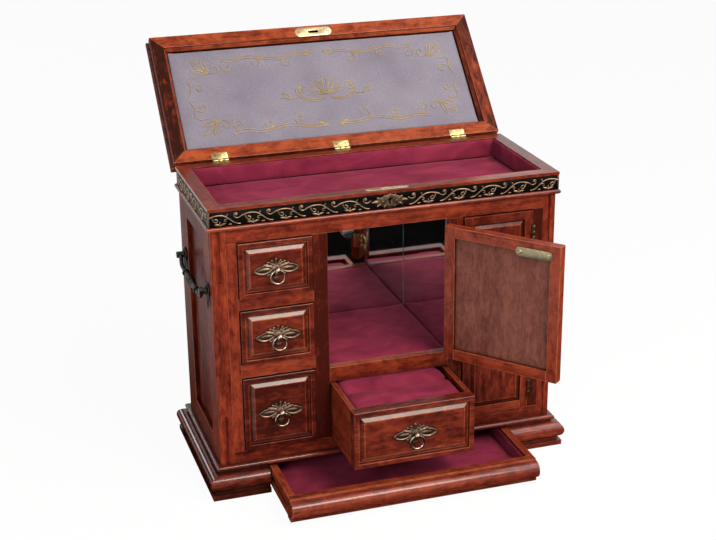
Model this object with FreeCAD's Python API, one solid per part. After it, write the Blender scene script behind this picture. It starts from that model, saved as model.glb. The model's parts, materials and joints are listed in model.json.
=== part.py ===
import FreeCAD, Part
import math
import os

# Jewelry chest: a lined tray under a hinged lid, three small drawers, a mirrored cupboard with a door,
# a ring drawer, a wide drawer in the base moulding and a tall necklace door.
# Millimetres, +X to the viewer's right, +Y to the back, +Z up, origin at the centre of the underside.
# The pieces are made shut and then moved to the rest pose: lid and centre door swung open, the ring
# drawer and the base drawer pulled out.

# Rest pose
LID_OPEN_DEG = 134.0
CENTRE_DOOR_OPEN_DEG = 130.0
RING_DRAWER_OUT = 70.0
BASE_DRAWER_OUT = 72.0

# Carcase, in plan
BODY_WIDTH = 338.0
BODY_DEPTH = 140.0
POST_WIDTH = 13.0
SIDE_STILE = 32.0
SIDE_PANEL = 4.0
SIDE_PANEL_SINK = 4.0
BACK_PANEL = 6.0
BACK_PANEL_SINK = 2.0
FRAME_THICKNESS = 9.0
CENTRE_OPENING = 120.0
INNER_STILE = 14.0
OUTER_STILE = 10.5
PARTITION = 6.0
MIRROR_THICKNESS = 2.0

# Carcase, in height
BOTTOM_RAIL = 12.0
BOTTOM_DRAWER_OPENING = 75.0
LOWER_RAIL = 13.0
MIDDLE_DRAWER_OPENING = 55.0
UPPER_RAIL = 11.0
TOP_DRAWER_OPENING = 55.0
HEADER = 13.0
RING_DRAWER_OPENING = 58.5
SILL_RAIL = 15.0
SIDE_RAIL = 20.0
SHELF = 5.0

# Corner posts: scooped in the middle, reeded at both ends
POST_ROUND = 2.0
SCOOP_LENGTH = 120.0
SCOOP_DEPTH = 4.5
REED_RADIUS = 1.2
REED_INSET = 7.0
REED_MARGIN = 8.0

# Base moulding, from the floor up, and how far each part stands out from the carcase
FOOT_HEIGHT = 5.0
FOOT_PROJECTION = 11.0
NECK_HEIGHT = 3.0
NECK_PROJECTION = 7.5
BULLNOSE_HEIGHT = 16.0
BULLNOSE_PROJECTION = 13.0
COVE_HEIGHT = 2.0
BASE_BEAD = 5.0
BASE_BEAD_PROJECTION = 5.0
BASE_BACKSET = 6.0
BASE_GUIDE = 12.0
RUNNER_HEIGHT = 4.0
RUNNER_DEPTH = 2.2

# Frieze round the tray
FRIEZE_BOARD = 11.0
FRIEZE_BEAD = 4.5
FRIEZE_BEAD_PROJECTION = 3.5
FRIEZE_BAND = 14.5
BAND_THICKNESS = 1.2
CAP_THICKNESS = 3.0
CAP_PROJECTION = 2.0
TRAY_PAD = 3.0
TRAY_WALL_LINING = 1.5
TRAY_LINING_DROP = 1.0

# Lid
LID_GAP = 0.3
LID_RAIL_THICKNESS = 11.0
LID_RAIL_STEP = 1.5
LID_RAIL_STEP_HEIGHT = 4.0
LID_SLIP = 2.5
LID_SLIP_SINK = 2.0
LID_LINING = 5.0
LID_PANEL = 7.0
LID_PANEL_OVERHANG = 2.0
LID_PANEL_ROUND = 3.0

# Raised fields of drawer fronts and doors
FRONT_BOARD = 12.0
FRONT_PROUD = 2.0
FRONT_ROUND = 1.0
FRONT_FRAME = 4.7
FIELD_DEPTH = 3.0
FIELD_BEVEL = 4.0
GROOVE = 0.8

# Doors
DOOR_THICKNESS = 9.5
DOOR_PANEL = 3.5
DOOR_GAP = 1.0
CENTRE_DOOR_STILE = 10.5
CENTRE_PIN_REACH = 4.2
NECKLACE_DOOR_STILE = 8.0
NECKLACE_PIN_REACH = 1.5
NECKLACE_EDGE_BEVEL = 3.0

# Drawers
DRAWER_GAP = 0.7
DRAWER_LIFT = 0.3
DRAWER_END_GAP = 4.0
DRAWER_SIDE = 5.0
DRAWER_BOTTOM = 3.0
DRAWER_LINING = 1.5
DRAWER_LINING_DROP = 3.0
BASE_DRAWER_MARGIN = 45.5
BASE_DRAWER_SIDE = 7.0
BASE_FRONT_LIFT = 3.0
BASE_FRONT_TOP_GAP = 0.5
CUSHION_GAP = 0.4
CUSHION_DROP = 3.0
CUSHION_CROWN = 2.5
CUSHION_END_FALL = 2.0
CUSHION_MIDDLE_FALL = 0.8
SLIT_WIDTH = 2.0
SLIT_DEPTH = 12.0
SLIT_FROM_FRONT = 45.0
PAD = 3.0

# Hinges
HINGE_LENGTH = 16.0
HINGE_BARREL = 1.6
HINGE_PIN = 0.9
HINGE_PIN_CLEARANCE = 0.05
HINGE_LEAF = 0.8
HINGE_LEAF_DEPTH = 6.5
KNUCKLE_GAP = 0.2
LID_PIN_REACH = 2.3
LID_HINGE_SPACING = 125.0
DOOR_HINGE_INSET = 22.0

# Pulls: a plate with a drilled ball, and a ring through the ball
PLATE_THICKNESS = 1.5
BALL_STANDOFF = 4.7
BALL_RADIUS = 3.2
BALL_BORE = 2.0
BALL_NECK = 1.7
RING_RADIUS = 6.6
RING_WIRE = 1.1
CENTRE_PULL_FROM_EDGE = 21.5
# Right half of each plate's outline from its peak to its tail, as (x, z) from the ball: a start point,
# then arcs by their middle and end. The wings are a pair of spread leaves, the leaf is pointed at both ends.
WING_OUTLINE = [(0, 11.0), (5.4, 7.4, 12.0, 6.8), (18.5, 4.6, 22.5, 0), (14.0, -2.2, 6.0, -3.6),
                (3.6, -7.5, 0, -10.5)]
LEAF_OUTLINE = [(0, 13.0), (5.0, 0, 0, -13.0)]

# Side handles
HANDLE_HALF_SPAN = 51.0
HANDLE_HEIGHT = 203.0
HANDLE_ROSETTE = 7.0
HANDLE_ROSETTE_THICKNESS = 1.5
HANDLE_POST = 3.2
HANDLE_AXIS_REACH = 6.0
HANDLE_PIN = 1.5
HANDLE_PIN_CLEARANCE = 0.08
HANDLE_ARM = 1.9
HANDLE_ARM_GAP = 0.5
HANDLE_DROP = 9.0
HANDLE_BEND = 6.0
HANDLE_GRIP = 3.2
HANDLE_GRIP_MARGIN = 8.4

# Lock, strikes and catch
LOCK_CASE_WIDTH = 34.0
LOCK_CASE_DEPTH = 5.0
LOCK_CASE_HEIGHT = 15.0
LOCK_PLATE_LENGTH = 42.0
LOCK_PLATE_WIDTH = 8.0
LOCK_PLATE = 1.2
BOLT_WIDTH = 10.0
BOLT_THICKNESS = 2.0
BOLT_LENGTH = 12.0
BOLT_TRAVEL = 4.0
BOLT_CLEARANCE = 0.2
STRIKE_LENGTH = 39.0
STRIKE_WIDTH = 10.0
STRIKE = 1.0
ESCUTCHEON = 1.5
ESCUTCHEON_OUTLINE = [(0, 7.0), (8.0, 4.4, 18.0, 0), (8.0, -4.4, 0, -7.0)]
KEYHOLE_RADIUS = 1.5
KEYHOLE_SLOT = 1.4
KEYHOLE_DROP = 5.0
DOOR_STRIKE_LENGTH = 37.0
DOOR_STRIKE_WIDTH = 9.0
DOOR_STRIKE_FROM_EDGE = 26.0
CATCH_RADIUS = 5.5
CATCH_LENGTH = 10.0
CATCH_GAP = 0.3
CATCH_OFFSET = 4.0

# Necklace pegs
PEG_COUNT = 4
PEG_RADIUS = 1.2
PEG_LENGTH = 14.0
PEG_BALL = 2.4
PEG_DROP = 22.0

# Places that follow from the sizes above
HALF_WIDTH = BODY_WIDTH / 2
FRONT = -BODY_DEPTH / 2
BACK = BODY_DEPTH / 2
FRAME_BACK = FRONT + FRAME_THICKNESS
BACK_INNER = BACK - BACK_PANEL_SINK - BACK_PANEL
POST_INNER = HALF_WIDTH - POST_WIDTH
OPENING_HALF = CENTRE_OPENING / 2
COLUMN_IN = OPENING_HALF + INNER_STILE
COLUMN_OUT = POST_INNER - OUTER_STILE
PARTITION_IN = OPENING_HALF + MIRROR_THICKNESS
PARTITION_OUT = PARTITION_IN + PARTITION
BULLNOSE_BOTTOM = FOOT_HEIGHT + NECK_HEIGHT
BULLNOSE_TOP = BULLNOSE_BOTTOM + BULLNOSE_HEIGHT
BASE_DRAWER_TOP = BULLNOSE_TOP + COVE_HEIGHT
BODY_BOTTOM = BASE_DRAWER_TOP + BASE_BEAD
OPENINGS_BOTTOM = BODY_BOTTOM + BOTTOM_RAIL
LOWER_RAIL_BOTTOM = OPENINGS_BOTTOM + BOTTOM_DRAWER_OPENING
MIDDLE_OPENING_BOTTOM = LOWER_RAIL_BOTTOM + LOWER_RAIL
UPPER_RAIL_BOTTOM = MIDDLE_OPENING_BOTTOM + MIDDLE_DRAWER_OPENING
TOP_OPENING_BOTTOM = UPPER_RAIL_BOTTOM + UPPER_RAIL
HEADER_BOTTOM = TOP_OPENING_BOTTOM + TOP_DRAWER_OPENING
BODY_TOP = HEADER_BOTTOM + HEADER
SILL_BOTTOM = OPENINGS_BOTTOM + RING_DRAWER_OPENING
SILL_TOP = SILL_BOTTOM + SILL_RAIL
BAND_BOTTOM = BODY_TOP + FRIEZE_BEAD
BAND_TOP = BAND_BOTTOM + FRIEZE_BAND
CHEST_TOP = BAND_TOP + CAP_THICKNESS
TRAY_FLOOR = BODY_TOP + TRAY_PAD
LID_BOTTOM = CHEST_TOP + LID_GAP
LID_RAIL_TOP = LID_BOTTOM + LID_RAIL_THICKNESS
LID_TOP = LID_RAIL_TOP + LID_PANEL
LID_RAIL_INNER = -FRIEZE_BOARD
BASE_FACE = HALF_WIDTH - BASE_BACKSET
FACE = FRONT - FRONT_PROUD
DRAWER_END = BACK_INNER - DRAWER_END_GAP
BASE_OPENING_HALF = HALF_WIDTH - BASE_DRAWER_MARGIN
LOCK_Y = FRONT + FRIEZE_BOARD / 2
LID_PIN_Y = BACK + CAP_PROJECTION + LID_PIN_REACH
LID_PIN_Z = CHEST_TOP + LID_GAP / 2

V = FreeCAD.Vector
UP = V(0, 0, 1)
TOUCH = 1e-6
NEAR = 0.1
nodes = {}


def block(x0, x1, y0, y1, z0, z1):
    """Box between two corners."""
    return Part.makeBox(x1 - x0, y1 - y0, z1 - z0, V(x0, y0, z0))


def mirrored(shape):
    """The same piece on the other side of the chest."""
    return shape.mirror(V(0, 0, 0), V(1, 0, 0))


def both_sides(shapes):
    """Right-hand pieces followed by their left-hand twins."""
    return list(shapes) + [mirrored(shape) for shape in shapes]


def turned(shape, angle, point=V(0, 0, 0), axis=UP):
    """A copy turned about an axis, in degrees."""
    copy = shape.copy()
    copy.rotate(point, axis, angle)
    return copy


def moved(shape, x=0.0, y=0.0, z=0.0):
    """A copy moved by a distance."""
    copy = shape.copy()
    copy.translate(V(x, y, z))
    return copy


def outline(path, place):
    """Closed face along a path of pairs; an entry of four numbers is an arc's middle and end."""
    edges = []
    previous = place(*path[0])
    for step in path[1:] + path[:1]:
        end = place(*step[-2:])
        if len(step) == 4:
            edges.append(Part.Arc(previous, place(*step[:2]), end).toShape())
        elif previous.distanceToPoint(end) > TOUCH:
            edges.append(Part.makeLine(previous, end))
        previous = end
    return Part.Face(Part.Wire(edges))


def plate(path, thickness):
    """Flat plate with an outline of (x, z) points, its back on y = 0 and its face towards -Y."""
    return outline(path, lambda x, z: V(x, 0, z)).extrude(V(0, -thickness, 0))


def mirrored_path(half):
    """Whole outline from its right half, which runs from the top of the middle line to its foot."""
    path = list(half)
    for index in range(len(half) - 1, 0, -1):
        step, end = half[index], half[index - 1][-2:]
        if len(step) == 4:
            path.append((-step[0], step[1], -end[0], end[1]))
        else:
            path.append((-end[0], end[1]))
    return path


def stadium(length, width):
    """Outline of a plate with round ends, centred on the origin."""
    half, end = width / 2, length / 2 - width / 2
    return [(-end, -half), (end, -half), (length / 2, 0, end, half), (-end, half),
            (-length / 2, 0, -end, -half)]


def moulding(path, half_length, setback):
    """One length of a profile along X, facing -Y, mitred at both ends; the path holds (outward, height)."""
    outward = [value for step in path for value in step[0::2]]
    heights = [value for step in path for value in step[1::2]]
    reach, depth = max(outward), max(0.0, -min(outward))
    length = half_length + reach
    bar = outline(path, lambda out, z: V(-length, -setback - out, z)).extrude(V(2 * length, 0, 0))
    plan = [(-length, -setback - reach), (length, -setback - reach),
            (half_length - depth, -setback + depth), (depth - half_length, -setback + depth)]
    wedge = outline(plan, lambda x, y: V(x, y, min(heights)))
    return bar.common(wedge.extrude(V(0, 0, max(heights) - min(heights)))).Solids[0]


def moulding_ring(path, half_x, half_y):
    """Four mitred lengths round a rectangle: front, right, back and left."""
    long_run = moulding(path, half_x, half_y)
    short_run = moulding(path, half_y, half_x)
    return [long_run, turned(short_run, 90), turned(long_run, 180), turned(short_run, 270)]


def square_profile(inner, outer, z0, z1):
    """Profile of a plain board for moulding()."""
    return [(inner, z0), (outer, z0), (outer, z1), (inner, z1)]


def rectangle(x0, x1, z0, z1, y):
    """Upright rectangular wire."""
    return Part.makePolygon([V(x0, y, z0), V(x1, y, z0), V(x1, y, z1), V(x0, y, z1), V(x0, y, z0)])


def frustum(x0, x1, z0, z1, y_far, y_near, inset):
    """Rectangular block that narrows by inset all round from y_far to y_near."""
    near = rectangle(x0 + inset, x1 - inset, z0 + inset, z1 - inset, y_near)
    return Part.makeLoft([rectangle(x0, x1, z0, z1, y_far), near], True, True)


def raised_front(x0, x1, z0, z1):
    """Drawer front: rounded edge, flat frame, groove and bevelled field."""
    board = block(x0, x1, FACE, FACE + FRONT_BOARD, z0, z1)
    front_edges = [edge for edge in board.Edges if edge.BoundBox.YMax < FACE + FRONT_ROUND / 2]
    board = board.makeFillet(FRONT_ROUND, front_edges)
    sink = FACE + FIELD_DEPTH
    edge = FRONT_FRAME
    pocket = frustum(x0 + edge, x1 - edge, z0 + edge, z1 - edge, FACE, sink, GROOVE)
    foot = edge + 2 * GROOVE
    field = frustum(x0 + foot, x1 - foot, z0 + foot, z1 - foot, sink, FACE, FIELD_BEVEL)
    return board.cut(pocket.cut(field)).Solids[0]


def panelled_door(x0, x1, z0, z1, stile):
    """Frame (two stiles, two rails) and raised panel of a door, shut."""
    back = FACE + DOOR_THICKNESS
    frame = [block(x0, x0 + stile, FACE, back, z0, z1),
             block(x1 - stile, x1, FACE, back, z0, z1),
             block(x0 + stile, x1 - stile, FACE, back, z0, z0 + stile),
             block(x0 + stile, x1 - stile, FACE, back, z1 - stile, z1)]
    sink = FACE + FIELD_DEPTH
    inside = (x0 + stile, x1 - stile, z0 + stile, z1 - stile)
    panel = block(inside[0], inside[1], sink, sink + DOOR_PANEL, inside[2], inside[3])
    field = frustum(inside[0] + GROOVE, inside[1] - GROOVE, inside[2] + GROOVE, inside[3] - GROOVE,
                    sink, FACE, FIELD_BEVEL)
    return frame, panel.fuse(field).removeSplitter()


def butt_hinge(fixed_seat, moving_seat, gap):
    """Hinge about the local Z axis: fixed leaf with its pin, moving leaf, and the recesses they lie in.

    Local +X points from the pin to the boards, which start at the two seats; the fixed board is on the
    +Y side of the gap and the moving board on the -Y side.
    """
    half, third = HINGE_LENGTH / 2, HINGE_LENGTH / 3
    near, far = gap / 2, gap / 2 + HINGE_LEAF
    fixed_recess = block(fixed_seat, fixed_seat + HINGE_LEAF_DEPTH, near, far, -half, half)
    moving_recess = block(moving_seat, moving_seat + HINGE_LEAF_DEPTH, -far, -near, -half, half)

    middle = (-third / 2 + KNUCKLE_GAP, third / 2 - KNUCKLE_GAP)
    knuckle = Part.makeCylinder(HINGE_BARREL, middle[1] - middle[0], V(0, 0, middle[0]))
    neck = block(0, moving_seat, -far, -near, *middle)
    bore = Part.makeCylinder(HINGE_PIN + HINGE_PIN_CLEARANCE, HINGE_LENGTH, V(0, 0, -half))
    moving = moving_recess.fuse([knuckle, neck]).cut(bore)

    fixed = fixed_recess.fuse(Part.makeCylinder(HINGE_PIN, HINGE_LENGTH, V(0, 0, -half)))
    for start, end in ((-half, -third / 2), (third / 2, half)):
        barrel = Part.makeCylinder(HINGE_BARREL, end - start, V(0, 0, start))
        fixed = fixed.fuse([barrel, block(0, fixed_seat, near, far, start, end)])
    return fixed.removeSplitter(), moving.removeSplitter(), fixed_recess, moving_recess


def door_hinge(pin_x, pin_reach, z):
    """A door's hinge in place: fixed leaf, moving leaf, fixed recess and moving recess."""
    pin_y = FACE - pin_reach
    place = FreeCAD.Matrix(0, 1, 0, pin_x, 1, 0, 0, pin_y, 0, 0, -1, z, 0, 0, 0, 1)
    return placed(butt_hinge(FRONT - pin_y, FACE - pin_y, DOOR_GAP), place)


def lid_hinge(x):
    """One of the lid's hinges in place, the lid shut."""
    place = FreeCAD.Matrix(0, 0, 1, x, -1, 0, 0, LID_PIN_Y, 0, -1, 0, LID_PIN_Z, 0, 0, 0, 1)
    return placed(butt_hinge(LID_PIN_REACH, LID_PIN_REACH, LID_GAP), place)


def placed(shapes, matrix):
    """Copies set at a placement."""
    copies = [shape.copy() for shape in shapes]
    for copy in copies:
        copy.Placement = FreeCAD.Placement(matrix)
    return copies


def cut_all(shape, tools):
    """A board less its recesses."""
    return shape.cut(list(tools)).Solids[0]


def pull(half_outline, x, z):
    """Pull plate with its drilled ball, and the ring, on a front's face."""
    ball_y = -PLATE_THICKNESS - BALL_STANDOFF
    neck = Part.makeCylinder(BALL_NECK, BALL_STANDOFF, V(0, -PLATE_THICKNESS, 0), V(0, -1, 0))
    ball = Part.makeSphere(BALL_RADIUS, V(0, ball_y, 0))
    bore = Part.makeCylinder(BALL_BORE, 2 * BALL_RADIUS, V(-BALL_RADIUS, ball_y, 0), V(1, 0, 0))
    base = plate(mirrored_path(half_outline), PLATE_THICKNESS).fuse([neck, ball]).cut(bore).removeSplitter()
    ring = Part.makeTorus(RING_RADIUS, RING_WIRE, V(0, ball_y, -RING_RADIUS), V(0, 1, 0))
    return moved(base, x, FACE, z), moved(ring, x, FACE, z)


def drawer_box(x0, x1, y0, z0, z1, side):
    """Sides, back and bottom of a drawer behind its front; the bottom lies between the other three."""
    return [block(x0, x0 + side, y0, DRAWER_END, z0, z1),
            block(x1 - side, x1, y0, DRAWER_END, z0, z1),
            block(x0 + side, x1 - side, DRAWER_END - side, DRAWER_END, z0, z1),
            block(x0 + side, x1 - side, y0, DRAWER_END - side, z0, z0 + DRAWER_BOTTOM)]


def drawer_lining(x0, x1, y0, z0, z1, side):
    """Velvet floor and walls of a drawer, inside its box."""
    floor = z0 + DRAWER_BOTTOM
    wall = DRAWER_LINING
    inside = (x0 + side, x1 - side, y0, DRAWER_END - side)
    middle = ((inside[0] + inside[1]) / 2, (inside[2] + inside[3]) / 2)
    half = ((inside[1] - inside[0]) / 2, (inside[3] - inside[2]) / 2)
    walls = moulding_ring(square_profile(-wall, 0, floor + wall, z1 - DRAWER_LINING_DROP), *half)
    floor_pad = block(*inside, floor, floor + wall)
    return [floor_pad] + [moved(solid, *middle) for solid in walls]


def side_frames():
    """Corner posts, back stiles and rails of both sides."""
    post = block(POST_INNER, HALF_WIDTH, FRONT, FRONT + SIDE_STILE, BODY_BOTTOM, BODY_TOP)
    corner = [edge for edge in post.Edges
              if edge.BoundBox.XMin > HALF_WIDTH - NEAR and edge.BoundBox.YMax < FRONT + NEAR]
    post = post.makeFillet(POST_ROUND, corner)

    middle = (BODY_BOTTOM + BODY_TOP) / 2
    radius = ((SCOOP_LENGTH / 2) ** 2 + SCOOP_DEPTH ** 2) / (2 * SCOOP_DEPTH)
    diagonal = V(1, -1, 0).normalize()
    across = V(1, 1, 0).normalize()
    centre = V(HALF_WIDTH, FRONT, middle) + diagonal * (radius - SCOOP_DEPTH)
    scoop = Part.makeCylinder(radius, 2 * SIDE_STILE, centre - across * SIDE_STILE, across)

    reeds = []
    stop = SCOOP_LENGTH / 2 + REED_MARGIN
    for start, end in ((BODY_BOTTOM, middle - stop), (middle + stop, BODY_TOP)):
        for x, y in ((HALF_WIDTH - REED_INSET, FRONT), (HALF_WIDTH, FRONT + REED_INSET)):
            reeds.append(Part.makeCylinder(REED_RADIUS, end - start, V(x, y, start)))
            reeds.append(Part.makeSphere(REED_RADIUS, V(x, y, end if start == BODY_BOTTOM else start)))
    post = post.cut([scoop] + reeds).Solids[0]

    stile = block(POST_INNER, HALF_WIDTH, BACK - SIDE_STILE, BACK, BODY_BOTTOM, BODY_TOP)
    inner = BACK - SIDE_STILE
    rails = [block(POST_INNER, HALF_WIDTH, -inner, inner, BODY_BOTTOM, BODY_BOTTOM + SIDE_RAIL),
             block(POST_INNER, HALF_WIDTH, -inner, inner, BODY_TOP - SIDE_RAIL, BODY_TOP)]
    nodes["side_frames"] = both_sides([post, stile] + rails)

    face = HALF_WIDTH - SIDE_PANEL_SINK
    panel = block(face - SIDE_PANEL, face, -inner, inner, BODY_BOTTOM + SIDE_RAIL, BODY_TOP - SIDE_RAIL)
    nodes["side_panels"] = both_sides([panel])


def carcase_boards():
    """Back, partitions, shelves, mirrors and the velvet pads that lie on them."""
    nodes["back_panel"] = [block(-POST_INNER, POST_INNER, BACK_INNER, BACK - BACK_PANEL_SINK,
                                 BODY_BOTTOM, BODY_TOP)]
    tray_bottom = BODY_TOP - SHELF
    nodes["partitions"] = both_sides([block(PARTITION_IN, PARTITION_OUT, FRAME_BACK, BACK_INNER,
                                            OPENINGS_BOTTOM, tray_bottom)])
    floor = SILL_TOP - PAD
    shelves = [(-POST_INNER, POST_INNER, OPENINGS_BOTTOM),
               (-POST_INNER, -PARTITION_OUT, MIDDLE_OPENING_BOTTOM),
               (-POST_INNER, -PARTITION_OUT, TOP_OPENING_BOTTOM),
               (-PARTITION_IN, PARTITION_IN, floor),
               (-PARTITION_IN, PARTITION_IN, HEADER_BOTTOM + SHELF),
               (-POST_INNER, POST_INNER, BODY_TOP)]
    nodes["shelves"] = [block(x0, x1, FRAME_BACK, BACK_INNER, top - SHELF, top) for x0, x1, top in shelves]

    glass_back = BACK_INNER - MIRROR_THICKNESS
    side_glass = block(OPENING_HALF, PARTITION_IN, FRAME_BACK, glass_back, floor, HEADER_BOTTOM)
    back_glass = block(-PARTITION_IN, PARTITION_IN, glass_back, BACK_INNER, floor, HEADER_BOTTOM)
    nodes["mirrors"] = both_sides([side_glass]) + [back_glass]
    nodes["velvet_pads"] = [
        block(-OPENING_HALF, OPENING_HALF, FRAME_BACK, glass_back, floor, SILL_TOP),
        block(PARTITION_OUT, POST_INNER, BACK_INNER - PAD, BACK_INNER, OPENINGS_BOTTOM, tray_bottom)]

    pegs = []
    step = (COLUMN_OUT - COLUMN_IN) / PEG_COUNT
    peg_z = HEADER_BOTTOM - PEG_DROP
    for index in range(PEG_COUNT):
        foot = V(COLUMN_IN + (index + 0.5) * step, BACK_INNER - PAD, peg_z)
        shank = Part.makeCylinder(PEG_RADIUS, PEG_LENGTH, foot, V(0, -1, 0))
        pegs.append(shank.fuse(Part.makeSphere(PEG_BALL, foot - V(0, PEG_LENGTH, 0))).removeSplitter())
    nodes["necklace_pegs"] = pegs


def front_rails(inner_recesses, outer_recesses):
    """Face frame: header, bottom rail, sill, column rails and four stiles."""
    def member(x0, x1, z0, z1):
        return block(x0, x1, FRONT, FRAME_BACK, z0, z1)

    inner_stile = member(OPENING_HALF, COLUMN_IN, OPENINGS_BOTTOM, HEADER_BOTTOM)
    outer_stile = member(COLUMN_OUT, POST_INNER, OPENINGS_BOTTOM, HEADER_BOTTOM)
    nodes["front_rails"] = [
        member(-POST_INNER, POST_INNER, HEADER_BOTTOM, BODY_TOP),
        member(-POST_INNER, POST_INNER, BODY_BOTTOM, OPENINGS_BOTTOM),
        member(-OPENING_HALF, OPENING_HALF, SILL_BOTTOM, SILL_TOP),
        member(-COLUMN_OUT, -COLUMN_IN, LOWER_RAIL_BOTTOM, MIDDLE_OPENING_BOTTOM),
        member(-COLUMN_OUT, -COLUMN_IN, UPPER_RAIL_BOTTOM, TOP_OPENING_BOTTOM),
        mirrored(inner_stile), mirrored(outer_stile),
        cut_all(inner_stile, inner_recesses), cut_all(outer_stile, outer_recesses)]


def bullnose_arc():
    """Corners of the half-round nose of the base, from its lower to its upper end."""
    start = BULLNOSE_PROJECTION - BULLNOSE_HEIGHT / 2
    return (start, BULLNOSE_BOTTOM), (BULLNOSE_PROJECTION, BULLNOSE_BOTTOM + BULLNOSE_HEIGHT / 2,
                                      start, BULLNOSE_TOP)


def base():
    """Mouldings, boards and drawer guides under the carcase."""
    nose_start, nose = bullnose_arc()
    bead_start = BASE_BEAD_PROJECTION - BASE_BEAD / 2
    bead = (BASE_BEAD_PROJECTION, BASE_DRAWER_TOP + BASE_BEAD / 2, bead_start, BODY_BOTTOM)
    path = [(-BASE_BACKSET, 0), (FOOT_PROJECTION, 0), (FOOT_PROJECTION, FOOT_HEIGHT),
            (NECK_PROJECTION, FOOT_HEIGHT), (NECK_PROJECTION, BULLNOSE_BOTTOM), nose_start, nose,
            (bead_start, BULLNOSE_TOP), (bead_start, BASE_DRAWER_TOP), bead, (-BASE_BACKSET, BODY_BOTTOM)]
    front, right, back, left = moulding_ring(path, HALF_WIDTH, -FRONT)
    end = HALF_WIDTH + 2 * BULLNOSE_PROJECTION
    outer = FRONT - 2 * BULLNOSE_PROJECTION
    corner = front.common(block(BASE_OPENING_HALF, end, outer, 0, 0, BODY_BOTTOM)).Solids[0]
    over_drawer = block(-BASE_OPENING_HALF, BASE_OPENING_HALF, outer, 0, BASE_DRAWER_TOP, BODY_BOTTOM)
    nodes["base_mouldings"] = both_sides([corner]) + [front.common(over_drawer).Solids[0], right, back, left]

    inner = BACK - BASE_BACKSET
    lip = FRONT + BASE_BACKSET
    board_front = lip + DRAWER_GAP
    guide = block(BASE_OPENING_HALF, BASE_OPENING_HALF + BASE_GUIDE, lip, inner, FOOT_HEIGHT, BASE_DRAWER_TOP)
    middle = (FOOT_HEIGHT + BASE_DRAWER_TOP) / 2
    runner = block(BASE_OPENING_HALF - RUNNER_DEPTH, BASE_OPENING_HALF, board_front, inner,
                   middle - RUNNER_HEIGHT / 2, middle + RUNNER_HEIGHT / 2)
    nodes["base_boards"] = [block(-BASE_FACE, BASE_FACE, board_front, inner, 0, FOOT_HEIGHT),
                            block(-BASE_FACE, BASE_FACE, lip, inner, BASE_DRAWER_TOP, BODY_BOTTOM)]
    nodes["base_boards"] += both_sides([guide, runner])


def keyhole():
    """Cutter for the keyhole, through the escutcheon and into the lock."""
    z = (BAND_BOTTOM + BAND_TOP) / 2 + KEYHOLE_RADIUS
    near = FRONT - 2 * (BAND_THICKNESS + ESCUTCHEON)
    depth = LOCK_Y - near
    eye = Part.makeCylinder(KEYHOLE_RADIUS, depth, V(0, near, z), V(0, 1, 0))
    return eye.fuse(block(-KEYHOLE_SLOT / 2, KEYHOLE_SLOT / 2, near, near + depth, z - KEYHOLE_DROP, z))


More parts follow.
